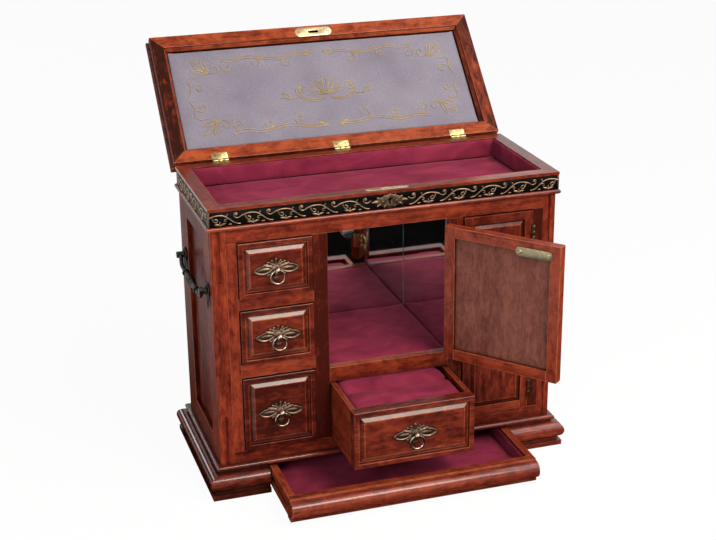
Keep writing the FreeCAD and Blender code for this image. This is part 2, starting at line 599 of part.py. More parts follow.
def frieze(hinge_recesses):
    """Walls of the tray with their mouldings, band, lock and lining."""
    eye = keyhole()
    half = LOCK_CASE_WIDTH / 2
    near, far = LOCK_Y - LOCK_CASE_DEPTH / 2, LOCK_Y + LOCK_CASE_DEPTH / 2
    case_box = (-half, half, near, far, BAND_TOP - LOCK_CASE_HEIGHT, BAND_TOP)
    bolt_top = CHEST_TOP - LOCK_PLATE / 2
    slot_half = BOLT_WIDTH / 2 + BOLT_CLEARANCE
    slot_near = LOCK_Y - BOLT_THICKNESS / 2 - BOLT_CLEARANCE
    slot_far = LOCK_Y + BOLT_THICKNESS / 2 + BOLT_CLEARANCE
    slot = block(-slot_half, slot_half, slot_near, slot_far, bolt_top - BOLT_LENGTH, 2 * CHEST_TOP)

    boards = moulding_ring(square_profile(-FRIEZE_BOARD, 0, BODY_TOP, BAND_TOP), HALF_WIDTH, -FRONT)
    boards[0] = cut_all(boards[0], [block(*case_box), eye])
    nodes["frieze_boards"] = boards

    start = FRIEZE_BEAD_PROJECTION - FRIEZE_BEAD / 2
    bead = [(0, BODY_TOP), (start, BODY_TOP),
            (FRIEZE_BEAD_PROJECTION, BODY_TOP + FRIEZE_BEAD / 2, start, BAND_BOTTOM), (0, BAND_BOTTOM)]
    cap = square_profile(-FRIEZE_BOARD, CAP_PROJECTION, BAND_TOP, CHEST_TOP)
    caps = moulding_ring(cap, HALF_WIDTH, -FRONT)
    top_plate = outline(stadium(LOCK_PLATE_LENGTH, LOCK_PLATE_WIDTH),
                        lambda x, y: V(x, LOCK_Y + y, CHEST_TOP - LOCK_PLATE)).extrude(UP * LOCK_PLATE)
    caps[0] = cut_all(caps[0], [top_plate, slot])
    caps[2] = cut_all(caps[2], hinge_recesses)
    nodes["frieze_mouldings"] = caps + moulding_ring(bead, HALF_WIDTH, -FRONT)
    nodes["lock_case"] = [cut_all(block(*case_box), [slot, eye]), cut_all(top_plate, [slot])]
    bolt = block(-BOLT_WIDTH / 2, BOLT_WIDTH / 2, LOCK_Y - BOLT_THICKNESS / 2, LOCK_Y + BOLT_THICKNESS / 2,
                 bolt_top - BOLT_LENGTH + BOLT_CLEARANCE, bolt_top)
    nodes["lock_bolt"] = [bolt]

    band = moulding_ring(square_profile(0, BAND_THICKNESS, BAND_BOTTOM, BAND_TOP), HALF_WIDTH, -FRONT)
    nodes["frieze_ornament"] = [cut_all(band[0], [eye]), band[1], band[3]]
    escutcheon = moved(plate(mirrored_path(ESCUTCHEON_OUTLINE), ESCUTCHEON), 0, FRONT - BAND_THICKNESS,
                       (BAND_BOTTOM + BAND_TOP) / 2)
    nodes["keyhole_escutcheon"] = [cut_all(escutcheon, [eye])]

    lining = square_profile(-FRIEZE_BOARD - TRAY_WALL_LINING, -FRIEZE_BOARD, TRAY_FLOOR,
                            CHEST_TOP - TRAY_LINING_DROP)
    floor = block(FRIEZE_BOARD - HALF_WIDTH, HALF_WIDTH - FRIEZE_BOARD, FRONT + FRIEZE_BOARD,
                  BACK - FRIEZE_BOARD, BODY_TOP, TRAY_FLOOR)
    nodes["tray_lining"] = [floor] + moulding_ring(lining, HALF_WIDTH, -FRONT)


def lid(hinge_leaves, hinge_recesses):
    """Lid rails with their slips, top panel, lining and fittings, swung open."""
    step_z = LID_RAIL_TOP - LID_RAIL_STEP_HEIGHT
    rail = [(LID_RAIL_INNER, LID_BOTTOM), (CAP_PROJECTION, LID_BOTTOM), (CAP_PROJECTION, step_z),
            (CAP_PROJECTION - LID_RAIL_STEP, step_z), (CAP_PROJECTION - LID_RAIL_STEP, LID_RAIL_TOP),
            (LID_RAIL_INNER, LID_RAIL_TOP)]
    rails = moulding_ring(rail, HALF_WIDTH, -FRONT)
    strike_plate = outline(stadium(STRIKE_LENGTH, STRIKE_WIDTH),
                           lambda x, y: V(x, LOCK_Y + y, LID_BOTTOM)).extrude(UP * STRIKE)
    half = BOLT_WIDTH / 2 + 2 * BOLT_CLEARANCE
    side = BOLT_THICKNESS / 2 + 2 * BOLT_CLEARANCE
    mortise = block(-half, half, LOCK_Y - side, LOCK_Y + side, LID_BOTTOM, LID_BOTTOM + 2 * BOLT_TRAVEL)
    rails[0] = cut_all(rails[0], [strike_plate, mortise])
    rails[2] = cut_all(rails[2], hinge_recesses)
    slip_face = LID_BOTTOM + LID_SLIP_SINK
    slip_inner = LID_RAIL_INNER - LID_SLIP
    slip = [(LID_RAIL_INNER, slip_face), (LID_RAIL_INNER, LID_RAIL_TOP), (slip_inner, LID_RAIL_TOP),
            (slip_inner, slip_face + LID_SLIP)]
    slips = moulding_ring(slip, HALF_WIDTH, -FRONT)

    out = CAP_PROJECTION + LID_PANEL_OVERHANG
    panel = block(-HALF_WIDTH - out, HALF_WIDTH + out, FRONT - out, BACK + out, LID_RAIL_TOP, LID_TOP)
    level_edges = [edge for edge in panel.Edges if edge.BoundBox.ZLength < LID_PANEL / 2]
    panel = panel.makeFillet(LID_PANEL_ROUND, level_edges)
    inside = HALF_WIDTH + slip_inner
    inside_y = BACK + slip_inner
    lining = block(-inside, inside, -inside_y, inside_y, LID_RAIL_TOP - LID_LINING, LID_RAIL_TOP)

    pieces = {"lid_rails": rails + slips, "lid_panel": [panel], "lid_lining": [lining],
              "lid_fittings": hinge_leaves + [cut_all(strike_plate, [mortise])]}
    pin = V(0, LID_PIN_Y, LID_PIN_Z)
    for name, solids in pieces.items():
        nodes[name] = [turned(solid, LID_OPEN_DEG, pin, V(-1, 0, 0)) for solid in solids]


def lid_with_frieze():
    """The tray's walls and the lid, which share three hinges."""
    hinges = [lid_hinge(x) for x in (-LID_HINGE_SPACING, 0, LID_HINGE_SPACING)]
    frieze([hinge[2] for hinge in hinges])
    lid([hinge[1] for hinge in hinges], [hinge[3] for hinge in hinges])
    return [hinge[0] for hinge in hinges]


def centre_door():
    """Cupboard door with its pull, hinges and strike, swung open; returns fixed leaves and recesses."""
    x0, x1 = DOOR_GAP - OPENING_HALF, OPENING_HALF - DOOR_GAP
    z0, z1 = SILL_TOP + DOOR_GAP, HEADER_BOTTOM - DOOR_GAP
    pin_x = OPENING_HALF - DOOR_GAP / 2
    frame, panel = panelled_door(x0, x1, z0, z1, CENTRE_DOOR_STILE)
    hinges = [door_hinge(pin_x, CENTRE_PIN_REACH, z) for z in (z0 + DOOR_HINGE_INSET, z1 - DOOR_HINGE_INSET)]
    frame[1] = cut_all(frame[1], [hinge[3] for hinge in hinges])

    back = FACE + DOOR_THICKNESS
    strike_x = x0 + DOOR_STRIKE_FROM_EDGE
    strike_z = z1 - CENTRE_DOOR_STILE
    strike = plate(stadium(DOOR_STRIKE_LENGTH, DOOR_STRIKE_WIDTH), STRIKE)
    strike = moved(strike, strike_x, back + STRIKE, strike_z)
    pull_plate, ring = pull(LEAF_OUTLINE, x0 + CENTRE_PULL_FROM_EDGE, (z0 + z1) / 2)
    pieces = {"centre_door_frame": frame, "centre_door_panel": [panel],
              "centre_door_pull_plate": [pull_plate], "centre_door_ring": [ring],
              "centre_door_fittings": [hinge[1] for hinge in hinges] + [strike]}
    pin = V(pin_x, FACE - CENTRE_PIN_REACH, 0)
    for name, solids in pieces.items():
        nodes[name] = [turned(solid, CENTRE_DOOR_OPEN_DEG, pin) for solid in solids]

    catch_x, catch_y = strike_x - CATCH_OFFSET, back + STRIKE + CATCH_GAP
    magnet_z = HEADER_BOTTOM - CATCH_RADIUS
    magnet = Part.makeCylinder(CATCH_RADIUS, CATCH_LENGTH, V(catch_x, catch_y, magnet_z), V(0, 1, 0))
    bracket = block(catch_x - CATCH_RADIUS, catch_x + CATCH_RADIUS, max(catch_y, FRAME_BACK),
                    catch_y + CATCH_LENGTH, magnet_z, HEADER_BOTTOM)
    nodes["door_catch"] = [magnet.fuse(bracket).removeSplitter()]
    return [hinge[0] for hinge in hinges], [hinge[2] for hinge in hinges]


def necklace_door():
    """Tall door of the right-hand column, shut; returns fixed leaves and recesses."""
    x0, x1 = COLUMN_IN + DOOR_GAP, COLUMN_OUT - DOOR_GAP
    z0, z1 = OPENINGS_BOTTOM + DOOR_GAP, HEADER_BOTTOM - DOOR_GAP
    pin_x = COLUMN_OUT - DOOR_GAP / 2
    frame, panel = panelled_door(x0, x1, z0, z1, NECKLACE_DOOR_STILE)
    hinge_heights = (z0 + DOOR_HINGE_INSET, z1 - DOOR_HINGE_INSET)
    hinges = [door_hinge(pin_x, NECKLACE_PIN_REACH, z) for z in hinge_heights]
    frame[1] = cut_all(frame[1], [hinge[3] for hinge in hinges])
    closing_edge = [edge for edge in frame[0].Edges
                    if edge.BoundBox.XMax < x0 + NEAR and edge.BoundBox.YMin > FACE + DOOR_THICKNESS - NEAR]
    frame[0] = frame[0].makeChamfer(NECKLACE_EDGE_BEVEL, closing_edge)
    pull_plate, ring = pull(WING_OUTLINE, (x0 + x1) / 2, (z0 + z1) / 2)
    nodes["necklace_door_frame"] = frame
    nodes["necklace_door_panel"] = [panel]
    nodes["necklace_door_pull_plate"] = [pull_plate]
    nodes["necklace_door_ring"] = [ring]
    nodes["necklace_door_hinge_leaves"] = [hinge[1] for hinge in hinges]
    return [hinge[0] for hinge in hinges], [hinge[2] for hinge in hinges]


def inset_drawer(name, x0, x1, z0, z1, out):
    """Drawer with a raised front and a pull in an opening of the face frame, pulled out; returns its box."""
    left, right = x0 + DRAWER_GAP, x1 - DRAWER_GAP
    low, high = z0 + DRAWER_LIFT, z1 - DRAWER_GAP
    inside = FACE + FRONT_BOARD
    pull_plate, ring = pull(WING_OUTLINE, (left + right) / 2, (low + high) / 2)
    pieces = {"front": [raised_front(left, right, low, high)],
              "box": drawer_box(left, right, inside, low, high, DRAWER_SIDE),
              "pull_plate": [pull_plate], "ring": [ring]}
    for part, solids in pieces.items():
        nodes[f"{name}_{part}"] = [moved(solid, 0, -out) for solid in solids]
    return left, right, inside, low, high


def ring_cushion(x0, x1, y0, y1, z0, z1, slit_y):
    """Velvet cushion with a crowned top and one slit for rings, lofted across the drawer."""
    def section(x, crown):
        top = z1 - crown
        near, far = slit_y - SLIT_WIDTH / 2, slit_y + SLIT_WIDTH / 2
        path = [(y0, z0), (y1, z0), (y1, z1 - CUSHION_CROWN),
                ((y1 + far) / 2, top + crown / 2, far, top),
                (slit_y, top - SLIT_DEPTH), (near, top),
                ((near + y0) / 2, top + crown / 2, y0, z1 - CUSHION_CROWN)]
        return outline(path, lambda y, z: V(x, y, z)).OuterWire

    middle = (x0 + x1) / 2
    sections = [section(x0, CUSHION_END_FALL), section(middle, CUSHION_MIDDLE_FALL),
                section(x1, CUSHION_END_FALL)]
    return Part.makeLoft(sections, True, False)


def drawers():
    """Three drawers of the left-hand column and the ring drawer."""
    column = (-COLUMN_OUT, -COLUMN_IN)
    openings = {"bottom_drawer": (OPENINGS_BOTTOM, LOWER_RAIL_BOTTOM),
                "middle_drawer": (MIDDLE_OPENING_BOTTOM, UPPER_RAIL_BOTTOM),
                "top_drawer": (TOP_OPENING_BOTTOM, HEADER_BOTTOM)}
    for name, (z0, z1) in openings.items():
        box = inset_drawer(name, *column, z0, z1, 0.0)
        nodes[f"{name}_lining"] = drawer_lining(*box, DRAWER_SIDE)

    centre = (-OPENING_HALF, OPENING_HALF, OPENINGS_BOTTOM, SILL_BOTTOM)
    left, right, inside, low, high = inset_drawer("ring_drawer", *centre, RING_DRAWER_OUT)
    edge = DRAWER_SIDE + CUSHION_GAP
    cushion = ring_cushion(left + edge, right - edge, inside + CUSHION_GAP, DRAWER_END - edge,
                           low + DRAWER_BOTTOM, high - CUSHION_DROP + CUSHION_CROWN, inside + SLIT_FROM_FRONT)
    nodes["ring_drawer_cushion"] = [moved(cushion, 0, -RING_DRAWER_OUT)]


def base_drawer():
    """Wide drawer whose front is a length of the base moulding, pulled out."""
    left, right = DRAWER_GAP - BASE_OPENING_HALF, BASE_OPENING_HALF - DRAWER_GAP
    low = FOOT_HEIGHT + DRAWER_LIFT
    high = BASE_DRAWER_TOP - BASE_FRONT_TOP_GAP
    nose_start, nose = bullnose_arc()
    shoulder = BASE_BEAD_PROJECTION - BASE_BEAD / 2
    path = [(-BASE_BACKSET, BASE_FRONT_LIFT), (nose_start[0], BASE_FRONT_LIFT), nose_start, nose,
            (shoulder, BULLNOSE_TOP), (shoulder, high), (-BASE_BACKSET, high)]
    front = outline(path, lambda out, z: V(left, FRONT - out, z)).extrude(V(right - left, 0, 0))
    inside = FRONT + BASE_BACKSET
    box = drawer_box(left, right, inside, low, high, BASE_DRAWER_SIDE)
    middle = (FOOT_HEIGHT + BASE_DRAWER_TOP) / 2
    groove_half = RUNNER_HEIGHT / 2 + DRAWER_LIFT
    groove = block(right - RUNNER_DEPTH - DRAWER_LIFT + DRAWER_GAP, right, inside, DRAWER_END,
                   middle - groove_half, middle + groove_half)
    box[0] = cut_all(box[0], [mirrored(groove)])
    box[1] = cut_all(box[1], [groove])
    pieces = {"base_drawer_front": [front], "base_drawer_box": box,
              "base_drawer_lining": drawer_lining(left, right, inside, low, high, BASE_DRAWER_SIDE)}
    for name, solids in pieces.items():
        nodes[name] = [moved(solid, 0, -BASE_DRAWER_OUT) for solid in solids]


def side_handles():
    """Posts with rosettes on both sides, and a bail handle hanging between each pair."""
    axis_x = HALF_WIDTH + HANDLE_AXIS_REACH
    outward = V(1, 0, 0)
    posts = []
    for y in (-HANDLE_HALF_SPAN, HANDLE_HALF_SPAN):
        foot = V(HALF_WIDTH, y, HANDLE_HEIGHT)
        rosette = Part.makeCylinder(HANDLE_ROSETTE, HANDLE_ROSETTE_THICKNESS, foot, outward)
        post = Part.makeCylinder(HANDLE_POST, HANDLE_AXIS_REACH + HANDLE_POST, foot, outward)
        hole = Part.makeCylinder(HANDLE_PIN + HANDLE_PIN_CLEARANCE, 2 * HANDLE_ROSETTE,
                                 V(axis_x, y - HANDLE_ROSETTE, HANDLE_HEIGHT), V(0, 1, 0))
        posts.append(rosette.fuse(post).cut(hole).removeSplitter())
    nodes["side_handle_posts"] = both_sides(posts)

    arm_y = HANDLE_HALF_SPAN - HANDLE_POST - HANDLE_ARM_GAP - HANDLE_ARM
    low = HANDLE_HEIGHT - HANDLE_DROP
    bend = HANDLE_BEND
    turn = bend * (1 - math.sqrt(0.5))
    grip_half = arm_y - bend - HANDLE_GRIP_MARGIN

    def at(y, z):
        return V(axis_x, y, z)

    edges = [Part.makeLine(at(-arm_y, HANDLE_HEIGHT), at(-arm_y, low + bend)),
             Part.Arc(at(-arm_y, low + bend), at(turn - arm_y, low + turn), at(bend - arm_y, low)).toShape(),
             Part.makeLine(at(bend - arm_y, low), at(arm_y - bend, low)),
             Part.Arc(at(arm_y - bend, low), at(arm_y - turn, low + turn), at(arm_y, low + bend)).toShape(),
             Part.makeLine(at(arm_y, low + bend), at(arm_y, HANDLE_HEIGHT))]
    section = Part.Wire(Part.makeCircle(HANDLE_ARM, at(-arm_y, HANDLE_HEIGHT), UP))
    bail = Part.Wire(edges).makePipeShell([section], True, True)
    pin_end = HANDLE_HALF_SPAN + HANDLE_POST
    extras = []
    for side in (-1, 1):
        eye = at(side * arm_y, HANDLE_HEIGHT)
        extras.append(Part.makeSphere(HANDLE_ARM, eye))
        extras.append(Part.makeCylinder(HANDLE_PIN, pin_end - arm_y, eye, V(0, side, 0)))
        extras.append(Part.makeCone(HANDLE_GRIP, HANDLE_ARM, grip_half, at(0, low), V(0, side, 0)))
    bail = bail.fuse(extras).removeSplitter()
    nodes["right_bail"] = [bail]
    nodes["left_bail"] = [mirrored(bail)]


def main():
    side_frames()
    carcase_boards()
    base()
    lid_leaves = lid_with_frieze()
    centre_leaves, centre_recesses = centre_door()
    necklace_leaves, necklace_recesses = necklace_door()
    front_rails(centre_recesses, necklace_recesses)
    nodes["hinge_fixed_leaves"] = lid_leaves + centre_leaves + necklace_leaves
    drawers()
    base_drawer()
    side_handles()
    os.makedirs("parts", exist_ok=True)
    for name, solids in nodes.items():
        shape = solids[0] if len(solids) == 1 else Part.makeCompound(solids)
        shape.exportStep(f"parts/{name}.step")


main()
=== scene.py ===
"""Jewelry chest of red-brown hardwood: the looks of its boards, velvet, mirrors and metal fittings."""
import json
import math

import bpy
from mathutils import Matrix, Vector

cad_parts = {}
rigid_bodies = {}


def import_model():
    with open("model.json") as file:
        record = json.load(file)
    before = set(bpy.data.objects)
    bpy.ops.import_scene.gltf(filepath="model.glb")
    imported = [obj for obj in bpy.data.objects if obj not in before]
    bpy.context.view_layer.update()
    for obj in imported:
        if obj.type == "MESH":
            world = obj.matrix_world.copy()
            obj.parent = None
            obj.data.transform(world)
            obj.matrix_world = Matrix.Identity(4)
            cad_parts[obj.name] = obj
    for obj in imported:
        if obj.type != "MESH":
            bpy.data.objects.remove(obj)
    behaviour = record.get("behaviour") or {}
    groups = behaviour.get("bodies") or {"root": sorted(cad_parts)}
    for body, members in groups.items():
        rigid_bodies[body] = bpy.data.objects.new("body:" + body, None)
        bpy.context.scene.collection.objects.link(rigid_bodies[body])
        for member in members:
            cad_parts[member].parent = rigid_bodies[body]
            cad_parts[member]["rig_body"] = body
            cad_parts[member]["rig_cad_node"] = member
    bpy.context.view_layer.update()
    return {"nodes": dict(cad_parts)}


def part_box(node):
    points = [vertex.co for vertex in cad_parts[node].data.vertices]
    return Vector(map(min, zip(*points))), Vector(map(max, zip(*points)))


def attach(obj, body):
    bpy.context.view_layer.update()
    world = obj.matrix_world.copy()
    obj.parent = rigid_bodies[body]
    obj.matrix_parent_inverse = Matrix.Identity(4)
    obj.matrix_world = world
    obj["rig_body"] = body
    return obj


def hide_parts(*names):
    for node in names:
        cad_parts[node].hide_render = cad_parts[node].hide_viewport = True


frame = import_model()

MM = 0.001

# How the chest stands: the lid leans back on its hinges and the cupboard door hangs open
LID_ANGLE = math.radians(134)
DOOR_ANGLE = math.radians(130)
LID_PIN = Vector((0, 74.3, 287.15)) * MM
DOOR_PIN = Vector((59.5, -76.2, 0)) * MM
LID_TURN = (Matrix.Translation(LID_PIN) @ Matrix.Rotation(LID_ANGLE, 4, (-1, 0, 0))
            @ Matrix.Translation(-LID_PIN))
DOOR_TURN = (Matrix.Translation(DOOR_PIN) @ Matrix.Rotation(DOOR_ANGLE, 4, "Z")
             @ Matrix.Translation(-DOOR_PIN))

# Ways that the grain of a board can run
GRAIN_WAYS = {
    "across": Vector((1, 0, 0)),
    "deep": Vector((0, 1, 0)),
    "upright": Vector((0, 0, 1)),
    "lid_slope": LID_TURN.to_3x3() @ Vector((0, -1, 0)),
    "door_width": DOOR_TURN.to_3x3() @ Vector((-1, 0, 0)),
}


# Working one object at a time

def only(*pieces):
    """Leaves just these objects selected, the first one active."""
    bpy.ops.object.select_all(action="DESELECT")
    for piece in pieces:
        piece.select_set(True)
    bpy.context.view_layer.objects.active = pieces[0]


def named(name):
    """The object just added, with its name."""
    piece = bpy.context.active_object
    piece.name = name
    return piece


def settle(piece, place=None):
    """Moves a piece to its place and puts the place into its mesh."""
    if place is not None:
        piece.matrix_world = place @ piece.matrix_world
    only(piece)
    bpy.ops.object.transform_apply(location=True, rotation=True, scale=True)
    return piece


def copied(piece, name, place):
    """Another of the same, with its own mesh, at its place."""
    only(piece)
    bpy.ops.object.duplicate()
    twin = named(name)
    return settle(twin, place)


def joined(pieces, name):
    """Several pieces made one."""
    only(*pieces)
    if len(pieces) > 1:
        bpy.ops.object.join()
    return named(name)


def discard(*pieces):
    """Takes patterns away once they have been copied."""
    only(*pieces)
    bpy.ops.object.delete()


def converted(piece):
    """A curve made a mesh."""
    only(piece)
    bpy.ops.object.convert(target="MESH")
    return bpy.context.active_object


def edit(piece, kind="FACE"):
    """Opens a piece for editing with nothing selected."""
    only(piece)
    bpy.ops.object.mode_set(mode="EDIT")
    bpy.ops.mesh.select_mode(type=kind)
    bpy.ops.mesh.select_all(action="DESELECT")


def done():
    bpy.ops.object.mode_set(mode="OBJECT")


def choose_faces(piece, test):
    """Selects the faces whose middle and normal pass a test, and opens the piece for editing."""
    edit(piece)
    done()
    for face in piece.data.polygons:
        face.select = test(face.center, face.normal)
    bpy.ops.object.mode_set(mode="EDIT")


def close_up(piece):
    """Merges doubled points and turns the faces outwards."""
    edit(piece)
    bpy.ops.mesh.select_all(action="SELECT")
    bpy.ops.mesh.remove_doubles(threshold=1e-6)
    bpy.ops.mesh.normals_make_consistent(inside=False)
    done()
    return piece


def modify(piece, kind, **settings):
    """Adds a modifier with its settings and applies it."""
    only(piece)
    bpy.ops.object.modifier_add(type=kind)
    modifier = piece.modifiers[-1]
    for setting, value in settings.items():
        setattr(modifier, setting, value)
    bpy.ops.object.modifier_apply(modifier=modifier.name)
    return piece


def round_edges(piece, width, steps=2, sharper_than=30, material=-1):
    """Rounds a piece's sharp edges, by millimetres and degrees."""
    return modify(piece, "BEVEL", width=width * MM, segments=steps, limit_method="ANGLE",
                  angle_limit=math.radians(sharper_than), material=material)


def subdivide_smooth(piece, levels=1):
    return modify(piece, "SUBSURF", levels=levels, render_levels=levels)


def smooth(piece, degrees=35):
    only(piece)
    bpy.ops.object.shade_smooth_by_angle(angle=math.radians(degrees))
    return piece


def give(piece, *materials):
    """Sets a piece's materials."""
    piece.data.materials.clear()
    for material in materials:
        piece.data.materials.append(material)
    return piece


def fit(piece, body, slot, *nodes):
    """Puts a finished piece on its body, in place of the nodes that it stands for."""
    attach(piece, body)
    if nodes:
        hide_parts(*nodes)
    return piece


def plain_copy(node, name):
    """A copy of a CAD node, free of the frame."""
    only(frame["nodes"][node])
    bpy.ops.object.duplicate()
    piece = named(name)
    piece.parent = None
    del piece["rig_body"]
    del piece["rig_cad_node"]
    bpy.ops.mesh.customdata_custom_splitnormals_clear()
    return piece


def weld(piece):
    """Merges loose triangles back into whole faces."""
    edit(piece)
    bpy.ops.mesh.select_all(action="SELECT")
    bpy.ops.mesh.remove_doubles(threshold=2e-6)
    bpy.ops.mesh.dissolve_limited(angle_limit=math.radians(0.4))
    done()
    return piece


def welded_copy(node, name):
    return weld(plain_copy(node, name))


def face_counts(piece):
    """How many triangles each solid of a node has: a solid is whole once every edge has met its pair."""
    spots = [tuple(round(part * 1e6) for part in vertex.co) for vertex in piece.data.vertices]
    counts, count, waiting = [], 0, set()
    for face in piece.data.polygons:
        corners = [spots[index] for index in face.vertices]
        for start, end in zip(corners, corners[1:] + corners[:1]):
            if (end, start) in waiting:
                waiting.remove((end, start))
            elif start != end:
                waiting.add((start, end))
        count += 1
        if not waiting:
            counts.append(count)
            count = 0
    return counts


def solids_of(node):
    """A node taken apart into its separate solids, each one welded."""
    rest = plain_copy(node, node + "_solid")
    solids = []
    for count in face_counts(rest)[:-1]:
        edit(rest)
        done()
        for face in rest.data.polygons[:count]:
            face.select = True
        bpy.ops.object.mode_set(mode="EDIT")
        bpy.ops.mesh.separate(type="SELECTED")
        done()
        solids.append([piece for piece in bpy.context.selected_objects if piece is not rest][0])
    return [weld(solid) for solid in solids + [rest]]


def box_of(piece):
    """Lowest and highest corner of a piece's mesh."""
    corners = [Vector(corner) for corner in piece.bound_box]
    low = Vector([min(corner[axis] for corner in corners) for axis in range(3)])
    high = Vector([max(corner[axis] for corner in corners) for axis in range(3)])
    return low, high


# Materials

def blank(name):
    """A new material with its node tree and its shader."""
    material = bpy.data.materials.new(name)
    material.use_nodes = True
    return material, material.node_tree, material.node_tree.nodes["Principled BSDF"]


def place_pattern(tree, size, way=Vector((1, 0, 0))):
    """Object coordinates turned so that X runs along a way, in features of a size in millimetres."""
    coordinates = tree.nodes.new("ShaderNodeTexCoord")
    mapping = tree.nodes.new("ShaderNodeMapping")
    mapping.vector_type = "TEXTURE"
    mapping.inputs["Rotation"].default_value = way.to_track_quat("X", "Z").to_euler()
    mapping.inputs["Scale"].default_value = [length * MM for length in size]
    tree.links.new(coordinates.outputs["Object"], mapping.inputs["Vector"])
    return mapping.outputs["Vector"]


def noise(tree, vector, detail=3.0, roughness=0.55, distortion=0.0, shift=None):
    """Cloudy pattern, moved on by a shift where one is given."""
    texture = tree.nodes.new("ShaderNodeTexNoise")
    texture.inputs["Scale"].default_value = 1.0
    texture.inputs["Detail"].default_value = detail
    texture.inputs["Roughness"].default_value = roughness
    texture.inputs["Distortion"].default_value = distortion
    tree.links.new(vector, texture.inputs["Vector"])
    if shift is not None:
        texture.noise_dimensions = "4D"
        tree.links.new(shift, texture.inputs["W"])
    return texture.outputs["Fac"]


def ramp(tree, value, *stops):
    """Colours along a value, as (place, colour) stops."""
    node = tree.nodes.new("ShaderNodeValToRGB")
    while len(node.color_ramp.elements) < len(stops):
        node.color_ramp.elements.new(0.5)
    for element, (place, colour) in zip(node.color_ramp.elements, stops):
        element.position = place
        element.color = (*colour, 1.0)
    tree.links.new(value, node.inputs["Fac"])
    return node.outputs["Color"]


def spread(tree, value, low, high, from_low=0.0, from_high=1.0):
    """A value stretched to another range."""
    node = tree.nodes.new("ShaderNodeMapRange")
    node.inputs["From Min"].default_value = from_low
    node.inputs["From Max"].default_value = from_high
    node.inputs["To Min"].default_value = low
    node.inputs["To Max"].default_value = high
    tree.links.new(value, node.inputs["Value"])
    return node.outputs["Result"]


def reckon(tree, operation, first, second):
    """Arithmetic on two values, of which the second may be a number."""
    node = tree.nodes.new("ShaderNodeMath")
    node.operation = operation
    tree.links.new(first, node.inputs[0])
    if isinstance(second, float):
        node.inputs[1].default_value = second
    else:
        tree.links.new(second, node.inputs[1])
    return node.outputs["Value"]


def blend_colours(tree, share, first, second, kind="MIX"):
    """Two colours mixed by a share, of which the second may be fixed."""
    node = tree.nodes.new("ShaderNodeMix")
    node.data_type = "RGBA"
    node.blend_type = kind
    if isinstance(share, float):
        node.inputs[0].default_value = share
    else:
        tree.links.new(share, node.inputs[0])
    tree.links.new(first, node.inputs[6])
    if isinstance(second, tuple):
        node.inputs[7].default_value = (*second, 1.0)
    else:
        tree.links.new(second, node.inputs[7])
    return node.outputs[2]


def weighted(tree, first, second):
    """Sum of two patterns, each with its weight."""
    return reckon(tree, "ADD", reckon(tree, "MULTIPLY", *first), reckon(tree, "MULTIPLY", *second))


def crevices(tree, reach, most):
    """How far a spot lies in a corner, a groove or close to another part, within a reach in millimetres: wood
    is darkened there as painted shade, metal as patina in its hollows.
    """
    corners = tree.nodes.new("ShaderNodeAmbientOcclusion")
    corners.samples = 8
    corners.inputs["Distance"].default_value = reach * MM
    return spread(tree, corners.outputs["AO"], most, 0.0, 0.25, 0.85)


def raise_surface(tree, shader, height, depth, strength=1.0):
    """Bumps a surface by a height pattern, its depth in millimetres."""
    bump = tree.nodes.new("ShaderNodeBump")
    bump.inputs["Distance"].default_value = depth * MM
    bump.inputs["Strength"].default_value = strength
    tree.links.new(height, bump.inputs["Height"])
    tree.links.new(bump.outputs["Normal"], shader.inputs["Normal"])


def wood(name, way, dark, middle, light, coat):
    """Straight-grained hardwood under a coat of varnish, its grain along a way."""
    material, tree, shader = blank(name)
    tone = tree.nodes.new("ShaderNodeAttribute")
    tone.attribute_name = "board_tone"
    board = reckon(tree, "MULTIPLY", tone.outputs["Fac"], 19.0)
    figure = noise(tree, place_pattern(tree, (150, 11, 11), way), 4.0, 0.6, 0.8, board)
    streaks = noise(tree, place_pattern(tree, (34, 0.9, 0.9), way), 3.0, 0.6, 0.3, board)
    pores = noise(tree, place_pattern(tree, (5.5, 0.34, 0.34), way), 1.0, 0.5, 0.0, board)
    mottle = noise(tree, place_pattern(tree, (15, 8, 8), way), 3.0, 0.6, 0.9, board)
    cloudy = weighted(tree, (figure, 0.42), (mottle, 0.58))
    mixed = weighted(tree, (cloudy, 0.82), (streaks, 0.18))
    shifted = reckon(tree, "ADD", mixed, reckon(tree, "MULTIPLY", tone.outputs["Fac"], 0.06))
    colour = ramp(tree, shifted, (0.38, dark), (0.50, middle), (0.63, light))
    pore_share = spread(tree, pores, 0.0, 0.55, 0.57, 0.70)
    pores_and_painted_shade = tuple(part * 0.35 for part in dark)
    colour = blend_colours(tree, pore_share, colour, pores_and_painted_shade)
    # Painted shade: the wood turns to the pores' dark in corners, grooves and next to other parts
    colour = blend_colours(tree, crevices(tree, 9.0, 0.90), colour, pores_and_painted_shade)
    tree.links.new(colour, shader.inputs["Base Color"])
    tree.links.new(spread(tree, streaks, 0.28, 0.46), shader.inputs["Roughness"])
    shader.inputs["Coat Weight"].default_value = coat
    shader.inputs["Coat Roughness"].default_value = 0.19
    shader.inputs["Specular IOR Level"].default_value = 0.02
    relief = reckon(tree, "SUBTRACT", reckon(tree, "MULTIPLY", streaks, 0.35), pore_share)
    raise_surface(tree, shader, relief, 0.06, 0.5)
    return material


def wood_set(name, shades, coat):
    """One wood for every way that its grain can run."""
    return {way: wood(f"{name}_{way}", line, *shades, coat) for way, line in GRAIN_WAYS.items()}


